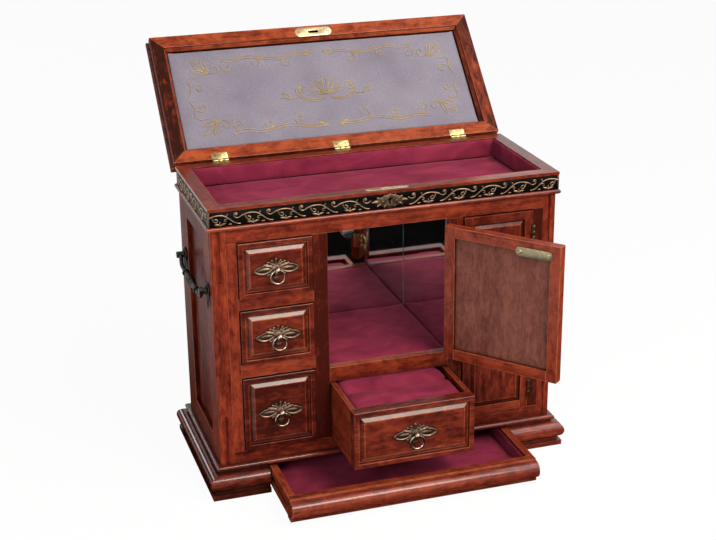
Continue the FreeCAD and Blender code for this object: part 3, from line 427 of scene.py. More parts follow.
# Shades of each wood, from dark to light, and how much varnish it carries
MAHOGANY_SHADES = ((0.046, 0.0062, 0.0032), (0.138, 0.0180, 0.0085), (0.275, 0.0440, 0.0165))
BOX_SHADES = ((0.115, 0.025, 0.010), (0.240, 0.060, 0.024), (0.370, 0.112, 0.047))
ARRIS_HIGHLIGHT_AND_WEAR_SHADES = ((0.138, 0.0180, 0.0085), (0.27, 0.060, 0.024), (0.42, 0.13, 0.06))
# The lid's wood runs darker and lighter than the chest's: painted shade on its dark left stile and painted
# light on its brighter rails
LID_SHADES_PAINTED_LIGHT_AND_SHADE = ((0.030, 0.0070, 0.0036), (0.190, 0.0310, 0.0115), (0.385, 0.0780, 0.0270))
VENEER_SHADES_PAINTED_REFLECTION = ((0.078, 0.024, 0.017), (0.140, 0.045, 0.032), (0.205, 0.074, 0.053))
POLISHED = 0.75
VARNISHED = 0.40
THINLY_VARNISHED = 0.12
WAXED = 0.10
SATIN = 0.05

mahogany = wood_set("mahogany", MAHOGANY_SHADES, VARNISHED)
moulding = wood_set("polished_moulding", MAHOGANY_SHADES, POLISHED)
box_wood = wood_set("box_wood", BOX_SHADES, WAXED)
# Lighter wood for the rounded edges of boards: a painted highlight along the arrises, with some wear
arris_highlight_and_wear = wood("mahogany_arris_painted_highlight_and_wear", GRAIN_WAYS["across"], *ARRIS_HIGHLIGHT_AND_WEAR_SHADES, VARNISHED)
satin = wood_set("satin_mahogany", MAHOGANY_SHADES, SATIN)
lid_wood_painted_light_and_shade = wood_set("lid_mahogany_painted_light_and_shade", LID_SHADES_PAINTED_LIGHT_AND_SHADE, SATIN)
# Back of the cupboard door: an upright veneer whose pale grey-pink colour is painted reflection of the bright
# surroundings
door_veneer_painted_reflection = wood("door_back_veneer_painted_reflection", GRAIN_WAYS["upright"], *VENEER_SHADES_PAINTED_REFLECTION, THINLY_VARNISHED)


def velvet_cloth():
    """Burgundy velvet: a deep ground, a nap brushed into faint clouds, and a pale sheen at the edges."""
    material, tree, shader = blank("burgundy_velvet")
    brushed = noise(tree, place_pattern(tree, (38, 26, 30)), 2.0, 0.5, 1.2)
    nap = noise(tree, place_pattern(tree, (0.7, 0.7, 0.7)), 2.0, 0.6)
    mixed = weighted(tree, (brushed, 0.6), (nap, 0.4))
    colour = ramp(tree, mixed, (0.30, (0.130, 0.011, 0.030)), (0.52, (0.215, 0.021, 0.051)),
                  (0.75, (0.310, 0.038, 0.084)))
    tree.links.new(colour, shader.inputs["Base Color"])
    shader.inputs["Roughness"].default_value = 0.95
    shader.inputs["Specular IOR Level"].default_value = 0.12
    shader.inputs["Sheen Weight"].default_value = 0.14
    shader.inputs["Sheen Roughness"].default_value = 0.35
    shader.inputs["Sheen Tint"].default_value = (0.80, 0.33, 0.45, 1.0)
    raise_surface(tree, shader, nap, 0.25, 0.6)
    return material


def lid_cloth():
    """Mauve-grey cloth with a fine weave and a speckled ground."""
    material, tree, shader = blank("mauve_grey_lid_cloth")
    slope = GRAIN_WAYS["lid_slope"]
    clouds = noise(tree, place_pattern(tree, (55, 45, 50)), 2.0, 0.5)
    speckle = noise(tree, place_pattern(tree, (0.9, 0.9, 0.9)), 2.0, 0.7)
    warp = noise(tree, place_pattern(tree, (6.0, 0.45, 0.45)), 1.0, 0.5)
    weft = noise(tree, place_pattern(tree, (6.0, 0.45, 0.45), slope), 1.0, 0.5)
    weave = reckon(tree, "MAXIMUM", warp, weft)
    mixed = weighted(tree, (clouds, 0.40), (speckle, 0.60))
    colour = ramp(tree, mixed, (0.28, (0.136, 0.121, 0.166)), (0.50, (0.212, 0.196, 0.246)),
                  (0.74, (0.305, 0.292, 0.342)))
    tree.links.new(colour, shader.inputs["Base Color"])
    tree.links.new(spread(tree, weave, 0.70, 0.92), shader.inputs["Roughness"])
    shader.inputs["Specular IOR Level"].default_value = 0.2
    shader.inputs["Sheen Weight"].default_value = 0.15
    raise_surface(tree, shader, weave, 0.18, 0.5)
    return material


def gold_thread():
    """Dull gold embroidery thread with a twisted lie."""
    material, tree, shader = blank("dull_gold_thread")
    twist = noise(tree, place_pattern(tree, (0.5, 0.5, 0.5)), 1.0, 0.5)
    worn = noise(tree, place_pattern(tree, (16, 16, 16)), 2.0, 0.5)
    mixed = weighted(tree, (twist, 0.5), (worn, 0.5))
    colour = ramp(tree, mixed, (0.30, (0.185, 0.120, 0.040)), (0.70, (0.480, 0.355, 0.140)))
    tree.links.new(colour, shader.inputs["Base Color"])
    shader.inputs["Metallic"].default_value = 0.35
    tree.links.new(spread(tree, twist, 0.35, 0.60), shader.inputs["Roughness"])
    raise_surface(tree, shader, twist, 0.15, 0.6)
    return material


def metal(name, dark, light, rough_low, rough_high, cloud=9.0, pitting=0.0):
    """Cast or rolled metal: patina in clouds, fine scratches and a little pitting."""
    material, tree, shader = blank(name)
    patina = noise(tree, place_pattern(tree, (cloud, cloud, cloud)), 4.0, 0.62, 0.4)
    scratches = noise(tree, place_pattern(tree, (2.4, 0.12, 0.3)), 2.0, 0.6)
    pits = noise(tree, place_pattern(tree, (0.5, 0.5, 0.5)), 2.0, 0.6)
    mixed = weighted(tree, (patina, 0.75), (pits, 0.25))
    colour = ramp(tree, mixed, (0.32, dark), (0.66, light))
    colour = blend_colours(tree, crevices(tree, 2.0, 0.9), colour, tuple(part * 0.12 for part in dark))
    tree.links.new(colour, shader.inputs["Base Color"])
    shader.inputs["Metallic"].default_value = 1.0
    rough = weighted(tree, (patina, 0.6), (scratches, 0.4))
    tree.links.new(spread(tree, rough, rough_high, rough_low, 0.3, 0.7), shader.inputs["Roughness"])
    relief = weighted(tree, (scratches, 0.15), (pits, pitting))
    raise_surface(tree, shader, relief, 0.08, 0.4)
    return material


def mirror_glass():
    """Silvered glass with the faintest wipe marks."""
    material, tree, shader = blank("cupboard_mirror")
    wipes = noise(tree, place_pattern(tree, (40, 14, 30)), 3.0, 0.6, 1.0)
    tree.links.new(ramp(tree, wipes, (0.3, (0.80, 0.83, 0.82)), (0.7, (0.90, 0.92, 0.91))),
                   shader.inputs["Base Color"])
    shader.inputs["Metallic"].default_value = 1.0
    tree.links.new(spread(tree, wipes, 0.012, 0.045), shader.inputs["Roughness"])
    return material


def glass_edge():
    """Ground edge of a mirror, green in the depth of the glass."""
    material, tree, shader = blank("mirror_ground_edge")
    ground = noise(tree, place_pattern(tree, (1.2, 1.2, 6)), 2.0, 0.6)
    tree.links.new(ramp(tree, ground, (0.3, (0.035, 0.130, 0.110)), (0.7, (0.16, 0.36, 0.31))),
                   shader.inputs["Base Color"])
    tree.links.new(spread(tree, ground, 0.12, 0.35), shader.inputs["Roughness"])
    shader.inputs["Coat Weight"].default_value = 0.5
    return material


velvet = velvet_cloth()
lid_fabric = lid_cloth()
embroidery_gold = gold_thread()
bronze = metal("antique_bronze", (0.075, 0.046, 0.030), (0.290, 0.195, 0.135), 0.28, 0.50, 6.0, 0.5)
rubbed_bronze = metal("rubbed_bronze", (0.170, 0.115, 0.080), (0.520, 0.385, 0.285), 0.16, 0.32, 6.0, 0.2)
dark_bronze = metal("blackened_bronze", (0.010, 0.009, 0.008), (0.060, 0.050, 0.042), 0.30, 0.55, 8.0, 0.5)
vine_bronze = metal("vine_bronze", (0.110, 0.064, 0.036), (0.420, 0.275, 0.170), 0.26, 0.46, 7.0, 0.3)
band_black = metal("frieze_black_ground", (0.005, 0.005, 0.005), (0.022, 0.020, 0.019), 0.35, 0.60, 10.0, 0.8)
brass = metal("lock_brass", (0.430, 0.310, 0.140), (0.760, 0.620, 0.360), 0.20, 0.36, 12.0, 0.1)
hinge_brass = metal("hinge_brass", (0.200, 0.135, 0.048), (0.520, 0.400, 0.185), 0.20, 0.36, 6.0, 0.2)
aged_brass = metal("aged_brass", (0.060, 0.042, 0.018), (0.240, 0.175, 0.080), 0.25, 0.45, 6.0, 0.3)
olive_brass = metal("tarnished_brass", (0.190, 0.155, 0.085), (0.440, 0.375, 0.235), 0.30, 0.46, 9.0, 0.3)
steel = metal("bright_steel", (0.560, 0.550, 0.530), (0.860, 0.850, 0.820), 0.16, 0.32, 8.0, 0.1)
mirror = mirror_glass()
green_edge = glass_edge()


# Boards

def longest_way(board):
    """The way that a board's longest edge runs."""
    points = board.data.vertices
    spans = [points[edge.vertices[0]].co - points[edge.vertices[1]].co for edge in board.data.edges]
    longest = max(spans, key=lambda span: span.length).normalized()
    return max(GRAIN_WAYS, key=lambda way: abs(longest.dot(GRAIN_WAYS[way])))


def tone_board(board, tone):
    """Marks a whole board with its own tone, which also shifts its figure."""
    mark = board.data.attributes.new("board_tone", "FLOAT", "FACE")
    mark.data.foreach_set("value", [tone] * len(board.data.polygons))


# Tones of boards that stand out, in the order of a node's boards; the others take theirs in turn
# The darkest tones are painted shade: the lid's left stile, the darkest stiles of the front and a base
# moulding are darkened where they stood in shade
BOARD_TONES = {
    "front_rails": (0.7, -0.2, 0.6, 0.7, 0.5, -2.4, 0.2, -1.0, -2.4),
    "side_frames": (0.3, -0.6, -0.4, -0.2, 0.5, -0.6, -0.4, -0.2),
    "base_mouldings": (0.5, -1.6, -0.3, 0.3, 0.0, -0.6),
    "lid_rails": (0.9, -0.9, 1.1, -2.6, 0.9, -0.5, 0.9, 0.8),
    "centre_door_frame": (1.0, 0.5, 1.0, 1.2),
    "top_drawer_front": (-0.7,),
    "middle_drawer_front": (-0.7,),
    "bottom_drawer_front": (-1.4,),
    "ring_drawer_front": (-0.4,),
    "base_drawer_front": (0.6,),
    "ring_drawer_box": (0.8, 0.8, 0.8, 0.8),
    "base_drawer_box": (0.9, 0.9, 0.9, 0.9),
}


def dress_boards(node, body, woods=mahogany, slot="wood", soft_edge=0.5, way=None):
    """Every board of a node with softened edges, flat faces, its own grain and its own tone; the darkest
    tones are painted shade, and outside box wood the edges take the lighter arris wood, a painted highlight
    with some wear.
    """
    boards = solids_of(node)
    for number, board in enumerate(boards):
        run = way or longest_way(board)
        give(board, woods[run], woods["across"] if woods is box_wood else arris_highlight_and_wear)
        round_edges(board, soft_edge, material=1)
        in_turn = (0.62 * number + 0.34 * len(node)) % 2.0 - 1.0
        tone_board(board, BOARD_TONES[node][number] if node in BOARD_TONES else in_turn)
    piece = smooth(joined(boards, node + "_wood"))
    modify(piece, "WEIGHTED_NORMAL", keep_sharp=True)
    return fit(piece, body, slot, node)


dress_boards("side_panels", "carcase", satin, way="upright")
dress_boards("side_frames", "carcase", satin)
for node in ("back_panel", "partitions", "front_rails", "shelves", "base_boards", "frieze_boards"):
    dress_boards(node, "carcase")
for node in ("base_mouldings", "frieze_mouldings"):
    dress_boards(node, "carcase", moulding)
dress_boards("lid_rails", "lid", lid_wood_painted_light_and_shade)
dress_boards("lid_panel", "lid")
dress_boards("centre_door_frame", "centre_door")
door_panel = dress_boards("centre_door_panel", "centre_door")
door_panel.data.materials.append(door_veneer_painted_reflection)
# The faces of the door's back take the veneer with its painted reflection
DOOR_BACK = DOOR_TURN.to_3x3() @ Vector((0, 1, 0))
for face in door_panel.data.polygons:
    if face.normal.dot(DOOR_BACK) > 0.9:
        face.material_index = 2
for node in ("necklace_door_frame", "necklace_door_panel"):
    dress_boards(node, "necklace_door")
DRAWERS = ["top_drawer", "middle_drawer", "bottom_drawer", "ring_drawer", "base_drawer"]
for drawer in DRAWERS:
    dress_boards(drawer + "_front", drawer, moulding, soft_edge=0.6, way="across")
dress_boards("ring_drawer_box", "ring_drawer")
dress_boards("base_drawer_box", "base_drawer", mahogany, "box_wood", 0.4)
for drawer in ("top_drawer", "middle_drawer", "bottom_drawer"):
    dress_boards(drawer + "_box", drawer, box_wood, "box_wood", 0.4)


# Velvet and cloth

def flat_pad(name, width, length, thickness, cell):
    """A pad lying on its back at the origin, its top cut into even cells and its rim rolled over."""
    columns = max(4, round(width / cell))
    rows = max(4, round(length / cell))
    bpy.ops.object.select_all(action="DESELECT")
    bpy.ops.mesh.primitive_grid_add(x_subdivisions=columns, y_subdivisions=rows, size=1)
    pad = named(name)
    pad.scale = (width * MM, length * MM, 1)
    settle(pad)
    edit(pad)
    bpy.ops.mesh.select_all(action="SELECT")
    bpy.ops.mesh.extrude_region_move(TRANSFORM_OT_translate={"value": (0, 0, thickness * MM)})
    done()
    close_up(pad)
    round_edges(pad, min(1.0, 0.4 * thickness), 2, 60)
    return pad


def plump(pad, pressure, cap):
    """Lets a pad swell like stuffed cloth, its back held down, no point moving past a cap in millimetres."""
    low = min(vertex.co.z for vertex in pad.data.vertices)
    held = [vertex.index for vertex in pad.data.vertices if vertex.co.z < low + 0.0002]
    start = [vertex.co.copy() for vertex in pad.data.vertices]
    group = pad.vertex_groups.new(name="held_down")
    group.add(held, 1.0, "REPLACE")
    only(pad)
    bpy.ops.object.modifier_add(type="CLOTH")
    cloth = pad.modifiers[-1]
    cloth.settings.use_pressure = True
    cloth.settings.uniform_pressure_force = pressure
    cloth.settings.vertex_group_mass = group.name
    cloth.settings.effector_weights.gravity = 0
    cloth.point_cache.frame_start = 1
    cloth.point_cache.frame_end = 20
    for step in range(1, 21):
        bpy.context.scene.frame_set(step)
    bpy.ops.object.modifier_apply(modifier=cloth.name)
    bpy.context.scene.frame_set(1)
    pad.vertex_groups.clear()
    for vertex, rest in zip(pad.data.vertices, start):
        move = vertex.co - rest
        if move.length > cap * MM:
            vertex.co = rest + move.normalized() * cap * MM
    return pad


def pad_between(name, low, high, face, cell=8.0, swell=0.0, pressure=3.0):
    """A velvet pad that fills a box, its soft side towards a face: up, left, right, front or back."""
    size = [(far - near) / MM for near, far in zip(low, high)]
    middle = (low + high) / 2
    if face == "up":
        pad = flat_pad(name, size[0], size[1], size[2], cell)
        turn = Matrix.Translation((middle.x, middle.y, low.z))
    elif face in ("left", "right"):
        pad = flat_pad(name, size[2], size[1], size[0], cell)
        side = -1 if face == "left" else 1
        back = high.x if face == "left" else low.x
        turn = Matrix.Translation((back, middle.y, middle.z)) @ Matrix.Rotation(side * math.pi / 2, 4, "Y")
    else:
        pad = flat_pad(name, size[0], size[2], size[1], cell)
        side = 1 if face == "front" else -1
        back = high.y if face == "front" else low.y
        turn = Matrix.Translation((middle.x, back, middle.z)) @ Matrix.Rotation(side * math.pi / 2, 4, "X")
    if swell:
        plump(pad, pressure, swell)
    return settle(pad, turn)


def velvet_piece(pads, name, body, node):
    """Pads joined into one lining, smooth, and put in place of its node."""
    lining = give(joined(pads, name), velvet)
    smooth(lining, 60)
    fit(lining, body, "velvet", node)
    return lining


def inward_face(low, high, centre):
    """The side of a lining's wall or floor that faces into the box."""
    size = high - low
    thin = min(range(3), key=lambda axis: size[axis])
    if thin == 2:
        return "up"
    if thin == 0:
        return "right" if low.x < centre.x else "left"
    return "back" if low.y < centre.y else "front"


WALL_SWELL = 0.5


def line_box(node, body, floor_swell):
    """Velvet floor and walls of a drawer or tray, each its own soft pad."""
    solids = solids_of(node)
    low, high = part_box(node)
    centre = (low + high) / 2
    pads = []
    for number, solid in enumerate(solids):
        near, far = box_of(solid)
        face = inward_face(near, far, centre)
        swell = floor_swell if face == "up" else WALL_SWELL
        pads.append(pad_between(f"{node}_pad_{number}", near, far, face, swell=swell))
    discard(*solids)
    return velvet_piece(pads, node + "_velvet", body, node)


line_box("tray_lining", "carcase", 1.2)
for drawer in ("top_drawer", "middle_drawer", "bottom_drawer", "base_drawer"):
    line_box(drawer + "_lining", drawer, 0.9)


def velvet_panels():
    """Velvet floor of the cupboard and velvet back of the necklace compartment."""
    solids = solids_of("velvet_pads")
    pads = []
    for number, solid in enumerate(solids):
        near, far = box_of(solid)
        face = "up" if far.z - near.z < 0.02 else "front"
        pads.append(pad_between(f"velvet_panel_{number}", near, far, face, 7.0, 1.0))
    discard(*solids)
    velvet_piece(pads, "velvet_panels", "carcase", "velvet_pads")


velvet_panels()


FRONT_ROLL_SHARE = 0.36


def ring_cushion():
    """Two stuffed rolls of velvet that meet in a slit for rings."""
    low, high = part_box("ring_drawer_cushion")
    slit_y = low.y + FRONT_ROLL_SHARE * (high.y - low.y)
    pads = []
    for name, near, far in (("front_roll", low.y, slit_y), ("back_roll", slit_y, high.y)):
        bpy.ops.object.select_all(action="DESELECT")
        # Smaller than its space by the room that the stuffing swells into
        size = Vector((high.x - low.x - 0.002, far - near - 0.002, high.z - low.z - 0.0025))
        middle = Vector(((low.x + high.x) / 2, (near + far) / 2, (low.z + high.z) / 2))
        bpy.ops.mesh.primitive_cube_add(size=1, location=middle, scale=size)
        roll = settle(named(name))
        round_edges(roll, 3.0, 3)
        modify(roll, "REMESH", mode="VOXEL", voxel_size=0.004)
        plump(roll, 4.0, 1.6)
        subdivide_smooth(roll)
        pads.append(roll)
    velvet_piece(pads, "ring_cushion_velvet", "ring_drawer", "ring_drawer_cushion")


ring_cushion()


# The lid's lining and its embroidery, worked flat and then turned with the lid

LINING_HALF_WIDTH = 155.3
LINING_HALF_DEPTH = 56.3
LINING_THICKNESS = 5.0
LINING_BACK = 298.3
THREAD_WIDTH = 0.95
THREAD_LIFT = 0.1
LINING_PLACE = LID_TURN @ Matrix.Translation((0, 0, LINING_BACK * MM)) @ Matrix.Rotation(math.pi, 4, "X")


def thread(paths, name, width, ground):
    """Threads of one width laid on a ground as one mesh; their paths are (x, y) in millimetres."""
    curve = bpy.data.curves.new(name, "CURVE")
    curve.dimensions = "3D"
    curve.bevel_depth = width / 2 * MM
    curve.bevel_resolution = 1
    curve.resolution_u = 3
    curve.use_fill_caps = True
    above = 0.1
    for path in paths:
        spline = curve.splines.new("NURBS")
        spline.points.add(len(path) - 1)
        for control, (x, y) in zip(spline.points, path):
            found, spot, _, _ = ground.ray_cast(Vector((x * MM, y * MM, above)), Vector((0, 0, -1)))
            height = spot.z if found else LINING_THICKNESS * MM
            control.co = (x * MM, y * MM, height + THREAD_LIFT * MM, 1)
        spline.use_endpoint_u = True
        spline.order_u = 4
    laid = bpy.data.objects.new(name, curve)
    bpy.context.scene.collection.objects.link(laid)
    return converted(laid)


def spiral(centre, start, end, first_radius, last_radius, steps=14):
    """Points of a curl, its angles in degrees and its radii in millimetres."""
    points = []
    for step in range(steps + 1):
        share = step / steps
        angle = math.radians(start + (end - start) * share)
        radius = first_radius + (last_radius - first_radius) * share
        points.append((centre[0] + radius * math.cos(angle), centre[1] + radius * math.sin(angle)))
    return points


def reflected(paths, across=1, along=1):
    return [[(across * x, along * y) for x, y in path] for path in paths]


def petal(root, tip, bulge):
    """Two arcs from a root to a tip, bulging to either side."""
    along = Vector(tip) - Vector(root)
    side = Vector((-along.y, along.x)) * bulge
    paths = []
    for sign in (1, -1):
        paths.append([root, tuple(Vector(root) + along * 0.3 + side * sign),
                      tuple(Vector(root) + along * 0.7 + side * sign * 0.8), tip])
    return paths


def embroidery():
    """Gold scrollwork of the lid: a palmette between C-scrolls, with waves, curls and fans round it."""
    quarter = []
    quarter += [[(6, 42), (22, 47), (40, 38), (58, 42), (76, 47), (92, 40), (104, 44)]]
    quarter += [[(10, 40), (24, 44), (41, 35.5), (60, 40), (78, 44), (92, 37.5), (102, 41)]]
    quarter += [spiral((34, 33), 60, -330, 6.0, 1.2)]
    quarter += [spiral((68, 36), 120, 480, 5.4, 1.1)]
    quarter += [spiral((98, 33), 80, -300, 6.4, 1.2)]
    for angle in (18, 45, 72):
        reach = 22 if angle == 45 else 17
        tip = (118 + reach * math.cos(math.radians(angle)), 27 + reach * math.sin(math.radians(angle)))
        quarter += petal((118, 27), tip, 0.16)
    quarter += [spiral((112, 33), -30, -360, 7.0, 1.2)]
    quarter += [[(142, 4), (136, 12), (143, 20), (137, 26), (128, 24)]]
    quarter += [spiral((131, 11), 30, 400, 5.6, 1.1)]
    quarter += petal((6, 45), (15, 39.5), 0.18)
    lines = []
    for across in (1, -1):
        for along in (1, -1):
            lines += reflected(quarter, across, along)
    middle = petal((0, -8), (0, 15), 0.17)
    half = []
    for angle, reach in ((66, 21), (44, 20), (22, 20)):
        tip = (reach * math.cos(math.radians(angle)), -8 + reach * math.sin(math.radians(angle)))
        half += petal((1.5, -8), tip, 0.15)
    half += [[(2, -10), (12, -14), (24, -11), (31, -3), (27, 4), (21, 2)]]
    half += [[(3, -12), (13, -16.5), (26, -13), (34.5, -3), (29, 6.5), (22, 5)]]
    half += [spiral((25, -1), 90, -250, 4.6, 1.0)]
    half += [[(31, -9), (38, -11), (44, -7), (49, -8)]]
    half += petal((38, -10), (47, -2), 0.2)
    lines += middle + half + reflected(half, -1)
    return lines


def lid_lining():
    """Padded cloth inside the lid, with the threads laid on it."""
    lining = flat_pad("lid_lining_cloth", 2 * LINING_HALF_WIDTH, 2 * LINING_HALF_DEPTH, LINING_THICKNESS, 6.0)
    plump(lining, 2.0, 1.0)
    give(smooth(lining, 60), lid_fabric)
    stitches = thread(embroidery(), "lid_scrollwork", THREAD_WIDTH, lining)
    settle(lining, LINING_PLACE)
    fit(lining, "lid", "lid_fabric", "lid_lining")
    give(settle(stitches, LINING_PLACE), embroidery_gold)
    smooth(stitches, 60)
    fit(stitches, "lid", "lid_fabric")


lid_lining()


# Mirrors

LEAST_PANE_AREA = 0.002


def cupboard_mirrors():
    """Silvered panes whose narrow edges show green glass."""
    panes = welded_copy("mirrors", "cupboard_mirrors")
    give(panes, mirror, green_edge)
    round_edges(panes, 0.9, 1)
    for face in panes.data.polygons:
        face.material_index = 0 if face.area > LEAST_PANE_AREA else 1
    fit(panes, "carcase", "mirror", "mirrors")


cupboard_mirrors()


# Cast ornament

def stem(name, path, radii, lift=0.0):
    """A cast stem along (x, z) points in millimetres, with its radius at each, lying on the plane y -lift."""
    curve = bpy.data.curves.new(name, "CURVE")
    curve.dimensions = "3D"
    curve.bevel_depth = 1.0 * MM
    curve.bevel_resolution = 2
    curve.resolution_u = 4
    curve.use_fill_caps = True
    spline = curve.splines.new("NURBS")
    spline.points.add(len(path) - 1)
    for control, (x, z), radius in zip(spline.points, path, radii):
        control.co = (x * MM, -(lift + 0.25 * radius) * MM, z * MM, 1)
        control.radius = radius
    spline.use_endpoint_u = True
    spline.order_u = 4
    drawn = bpy.data.objects.new(name, curve)
    bpy.context.scene.collection.objects.link(drawn)
    return converted(drawn)


def even(first, last, count):
    return [first + (last - first) * step / (count - 1) for step in range(count)]


def drawn_leaf(name, stations, thickness):
    """A lens-shaped leaf along +X in the XZ plane, its back at y 0; stations are (distance, half width)."""
    bpy.ops.object.select_all(action="DESELECT")
    distance, half = stations[0]
    bpy.ops.mesh.primitive_circle_add(vertices=8, radius=half * MM, fill_type="NGON",
                                      location=(distance * MM, 0, 0), rotation=(0, math.pi / 2, 0))
    leaf = settle(named(name))
    edit(leaf)
    bpy.ops.mesh.select_all(action="SELECT")
    for (near, wide), (far, narrow) in zip(stations, stations[1:]):
        bpy.ops.mesh.extrude_region_move(TRANSFORM_OT_translate={"value": ((far - near) * MM, 0, 0)})
        bpy.ops.transform.resize(value=(1, narrow / wide, narrow / wide), center_override=(far * MM, 0, 0))
    done()
    close_up(leaf)
    subdivide_smooth(leaf)
    widest = max(half for _, half in stations)
    settle(leaf, Matrix.Diagonal((1, thickness / (2 * widest), 1, 1)))
    return settle(leaf, Matrix.Translation((0, -0.3 * thickness * MM, 0)))


FEATHER = drawn_leaf("feather", [(0, 1.0), (2, 1.7), (5, 2.2), (8.5, 2.1), (11, 1.4), (12.4, 0.4)], 2.0)
WING = drawn_leaf("wing", [(0, 1.0), (3, 2.6), (7, 3.7), (11, 3.9), (14.5, 2.8), (17, 1.4), (18.2, 0.5)], 1.7)
WING_TIP = drawn_leaf("wing_tip", [(0, 1.2), (3, 2.6), (7, 3.0), (11, 2.1), (14.5, 1.0), (16.5, 0.25)], 2.2)
SMALL_LEAF = drawn_leaf("small_leaf", [(0, 0.35), (1.2, 1.1), (2.8, 1.35), (4.4, 0.8), (5.6, 0.15)], 1.3)


def leaf_at(pattern, x, z, degrees, size=1.0, lift=0.0):
    """A copy of a leaf in the plane of a plate, pointing at an angle from +X, in millimetres."""
    turn = Matrix.Rotation(-math.radians(degrees), 4, "Y")
    place = Matrix.Translation((x * MM, -lift * MM, z * MM)) @ turn @ Matrix.Scale(size, 4)
    return copied(pattern, pattern.name + "_copy", place)


def bead(name, x, y, z, radius, squash=1.0):
    """A round bead, flattened front to back where squashed, in millimetres."""
    bpy.ops.object.select_all(action="DESELECT")
    bpy.ops.mesh.primitive_uv_sphere_add(segments=16, ring_count=10, radius=radius * MM)
    place = Matrix.Translation((x * MM, y * MM, z * MM)) @ Matrix.Diagonal((1, squash, 1, 1))
    return settle(named(name), place)


def fused(pieces, name, grain=0.32):
    """Pieces melted into one casting by a fine remesh, in millimetres, and smoothed."""
    casting = joined(pieces, name)
    modify(casting, "REMESH", mode="VOXEL", voxel_size=grain * MM)
    modify(casting, "SMOOTH", factor=0.5, iterations=4)
    return smooth(casting, 80)


BALL_REACH = 6.2
BALL_RADIUS = 3.2


def pull_ball():
    """Neck and drilled ball that carry a ring, standing out of a plate's face."""
    bpy.ops.object.select_all(action="DESELECT")
    bpy.ops.mesh.primitive_cylinder_add(vertices=24, radius=1.8 * MM, depth=5.0 * MM,
                                        location=(0, -2.5 * MM, 0), rotation=(math.pi / 2, 0, 0))
    neck = settle(named("neck"))
    bpy.ops.mesh.primitive_uv_sphere_add(segments=32, ring_count=20, radius=BALL_RADIUS * MM,
                                         location=(0, -BALL_REACH * MM, 0))
    ball = settle(named("ball"))
    bpy.ops.mesh.primitive_cylinder_add(vertices=24, radius=2.0 * MM, depth=9 * MM,
                                        location=(0, -BALL_REACH * MM, 0), rotation=(0, math.pi / 2, 0))
    drill = settle(named("drill"))
    for part, operation in ((neck, "UNION"), (drill, "DIFFERENCE")):
        modify(ball, "BOOLEAN", object=part, operation=operation, solver="EXACT")
    discard(neck, drill)
    return smooth(round_edges(ball, 0.25, 2, 40), 40)


def winged_plate():
    """Pair of hollowed, rimmed wings, an open crown of curled stems, a boss and a heart-shaped tail."""
    peak = [(0, 1), (0, 4), (0, 7), (0, 9)]
    neck = [(0, -3), (0, -5), (0, -7), (0, -9)]
    rim = [(3.0, 0.2), (5.5, 2.4), (9.5, 3.7), (14.0, 3.5), (18.0, 1.9), (21.8, -0.6),
           (18.4, -3.1), (14.0, -4.5), (9.5, -4.1), (5.5, -2.2), (3.0, 0.2)]
    crown = [[(0.8, 2.0), (2.0, 4.6), (3.0, 6.6), (4.2, 8.0)],
             [(1.6, 2.0), (4.0, 4.8), (6.0, 6.4), (7.8, 6.8)],
             [(3.0, 1.8), (6.4, 3.8), (9.0, 4.9), (11.2, 4.7)]]
    parts = [bead("boss", 0, -0.6, 0, 4.2, 0.45),
             stem("peak", peak, [1.2, 1.0, 0.8, 0.7], 0.4),
             bead("peak_curl", 0, -0.9, 9.4, 1.15, 0.8),
             stem("neck", neck, [1.2, 1.0, 0.9, 0.9], 0.3)]
    for side, ahead in ((1, 0), (-1, 180)):
        parts.append(leaf_at(WING, side * 2.8, -0.4, ahead - side * 1, 1.02, 0.1))
        parts.append(stem("wing_rim", [(side * x, z) for x, z in rim], [0.80] * len(rim), 0.9))
        parts.append(leaf_at(FEATHER, side * 5.2, -0.3, ahead, 0.92, 0.4))
        for path in crown:
            parts.append(stem("crown_stem", [(side * x, z) for x, z in path], [1.0, 0.9, 0.8, 0.7], 0.4))
            tip_x, tip_z = path[-1]
            parts.append(bead("curl", side * tip_x, -0.9, tip_z - 0.3, 1.25, 0.8))
        parts.append(leaf_at(SMALL_LEAF, side * 2.6, -2.4, ahead - side * 40, 1.1, 0.4))
        parts.append(bead("nub", side * 7.6, -0.8, -5.6, 1.35, 0.8))
        parts.append(leaf_at(SMALL_LEAF, 0, -11.6, 90 - side * 27, 0.95, 0.5))
    return fused(parts, "winged_plate_pattern", 0.28)


def leaf_plate():
    """Upright plate pointed at both ends."""
    parts = [leaf_at(WING_TIP, 0, -1, 90, 0.86), leaf_at(WING_TIP, 0, 1, -90, 0.86),
             bead("boss", 0, -0.4, 0, 3.6, 0.5)]
    for side in (1, -1):
        for angle in (50, -50):
            parts.append(leaf_at(FEATHER, 0, 0, angle if side == 1 else 180 - angle, 0.5, 0.1))
    return fused(parts, "leaf_plate_pattern")


def pull_ring():
    """Ring that hangs in the ball, thicker and flattened at the bottom."""
    bpy.ops.object.select_all(action="DESELECT")
    bpy.ops.mesh.primitive_torus_add(major_radius=6.6 * MM, minor_radius=1.1 * MM, major_segments=56,
                                     minor_segments=14, rotation=(math.pi / 2, 0, 0))
    ring = settle(named("pull_ring_pattern"))
    choose_faces(ring, lambda middle, normal: middle.z < -4.2 * MM)
    bpy.ops.transform.shrink_fatten(value=0.16 * MM)
    done()
    modify(ring, "SMOOTH", factor=0.5, iterations=3)
    return smooth(settle(ring, Matrix.Translation((0, 0, -6.6 * MM))), 60)


BALL = pull_ball()
WINGS = winged_plate()
LEAF = leaf_plate()
RING = pull_ring()


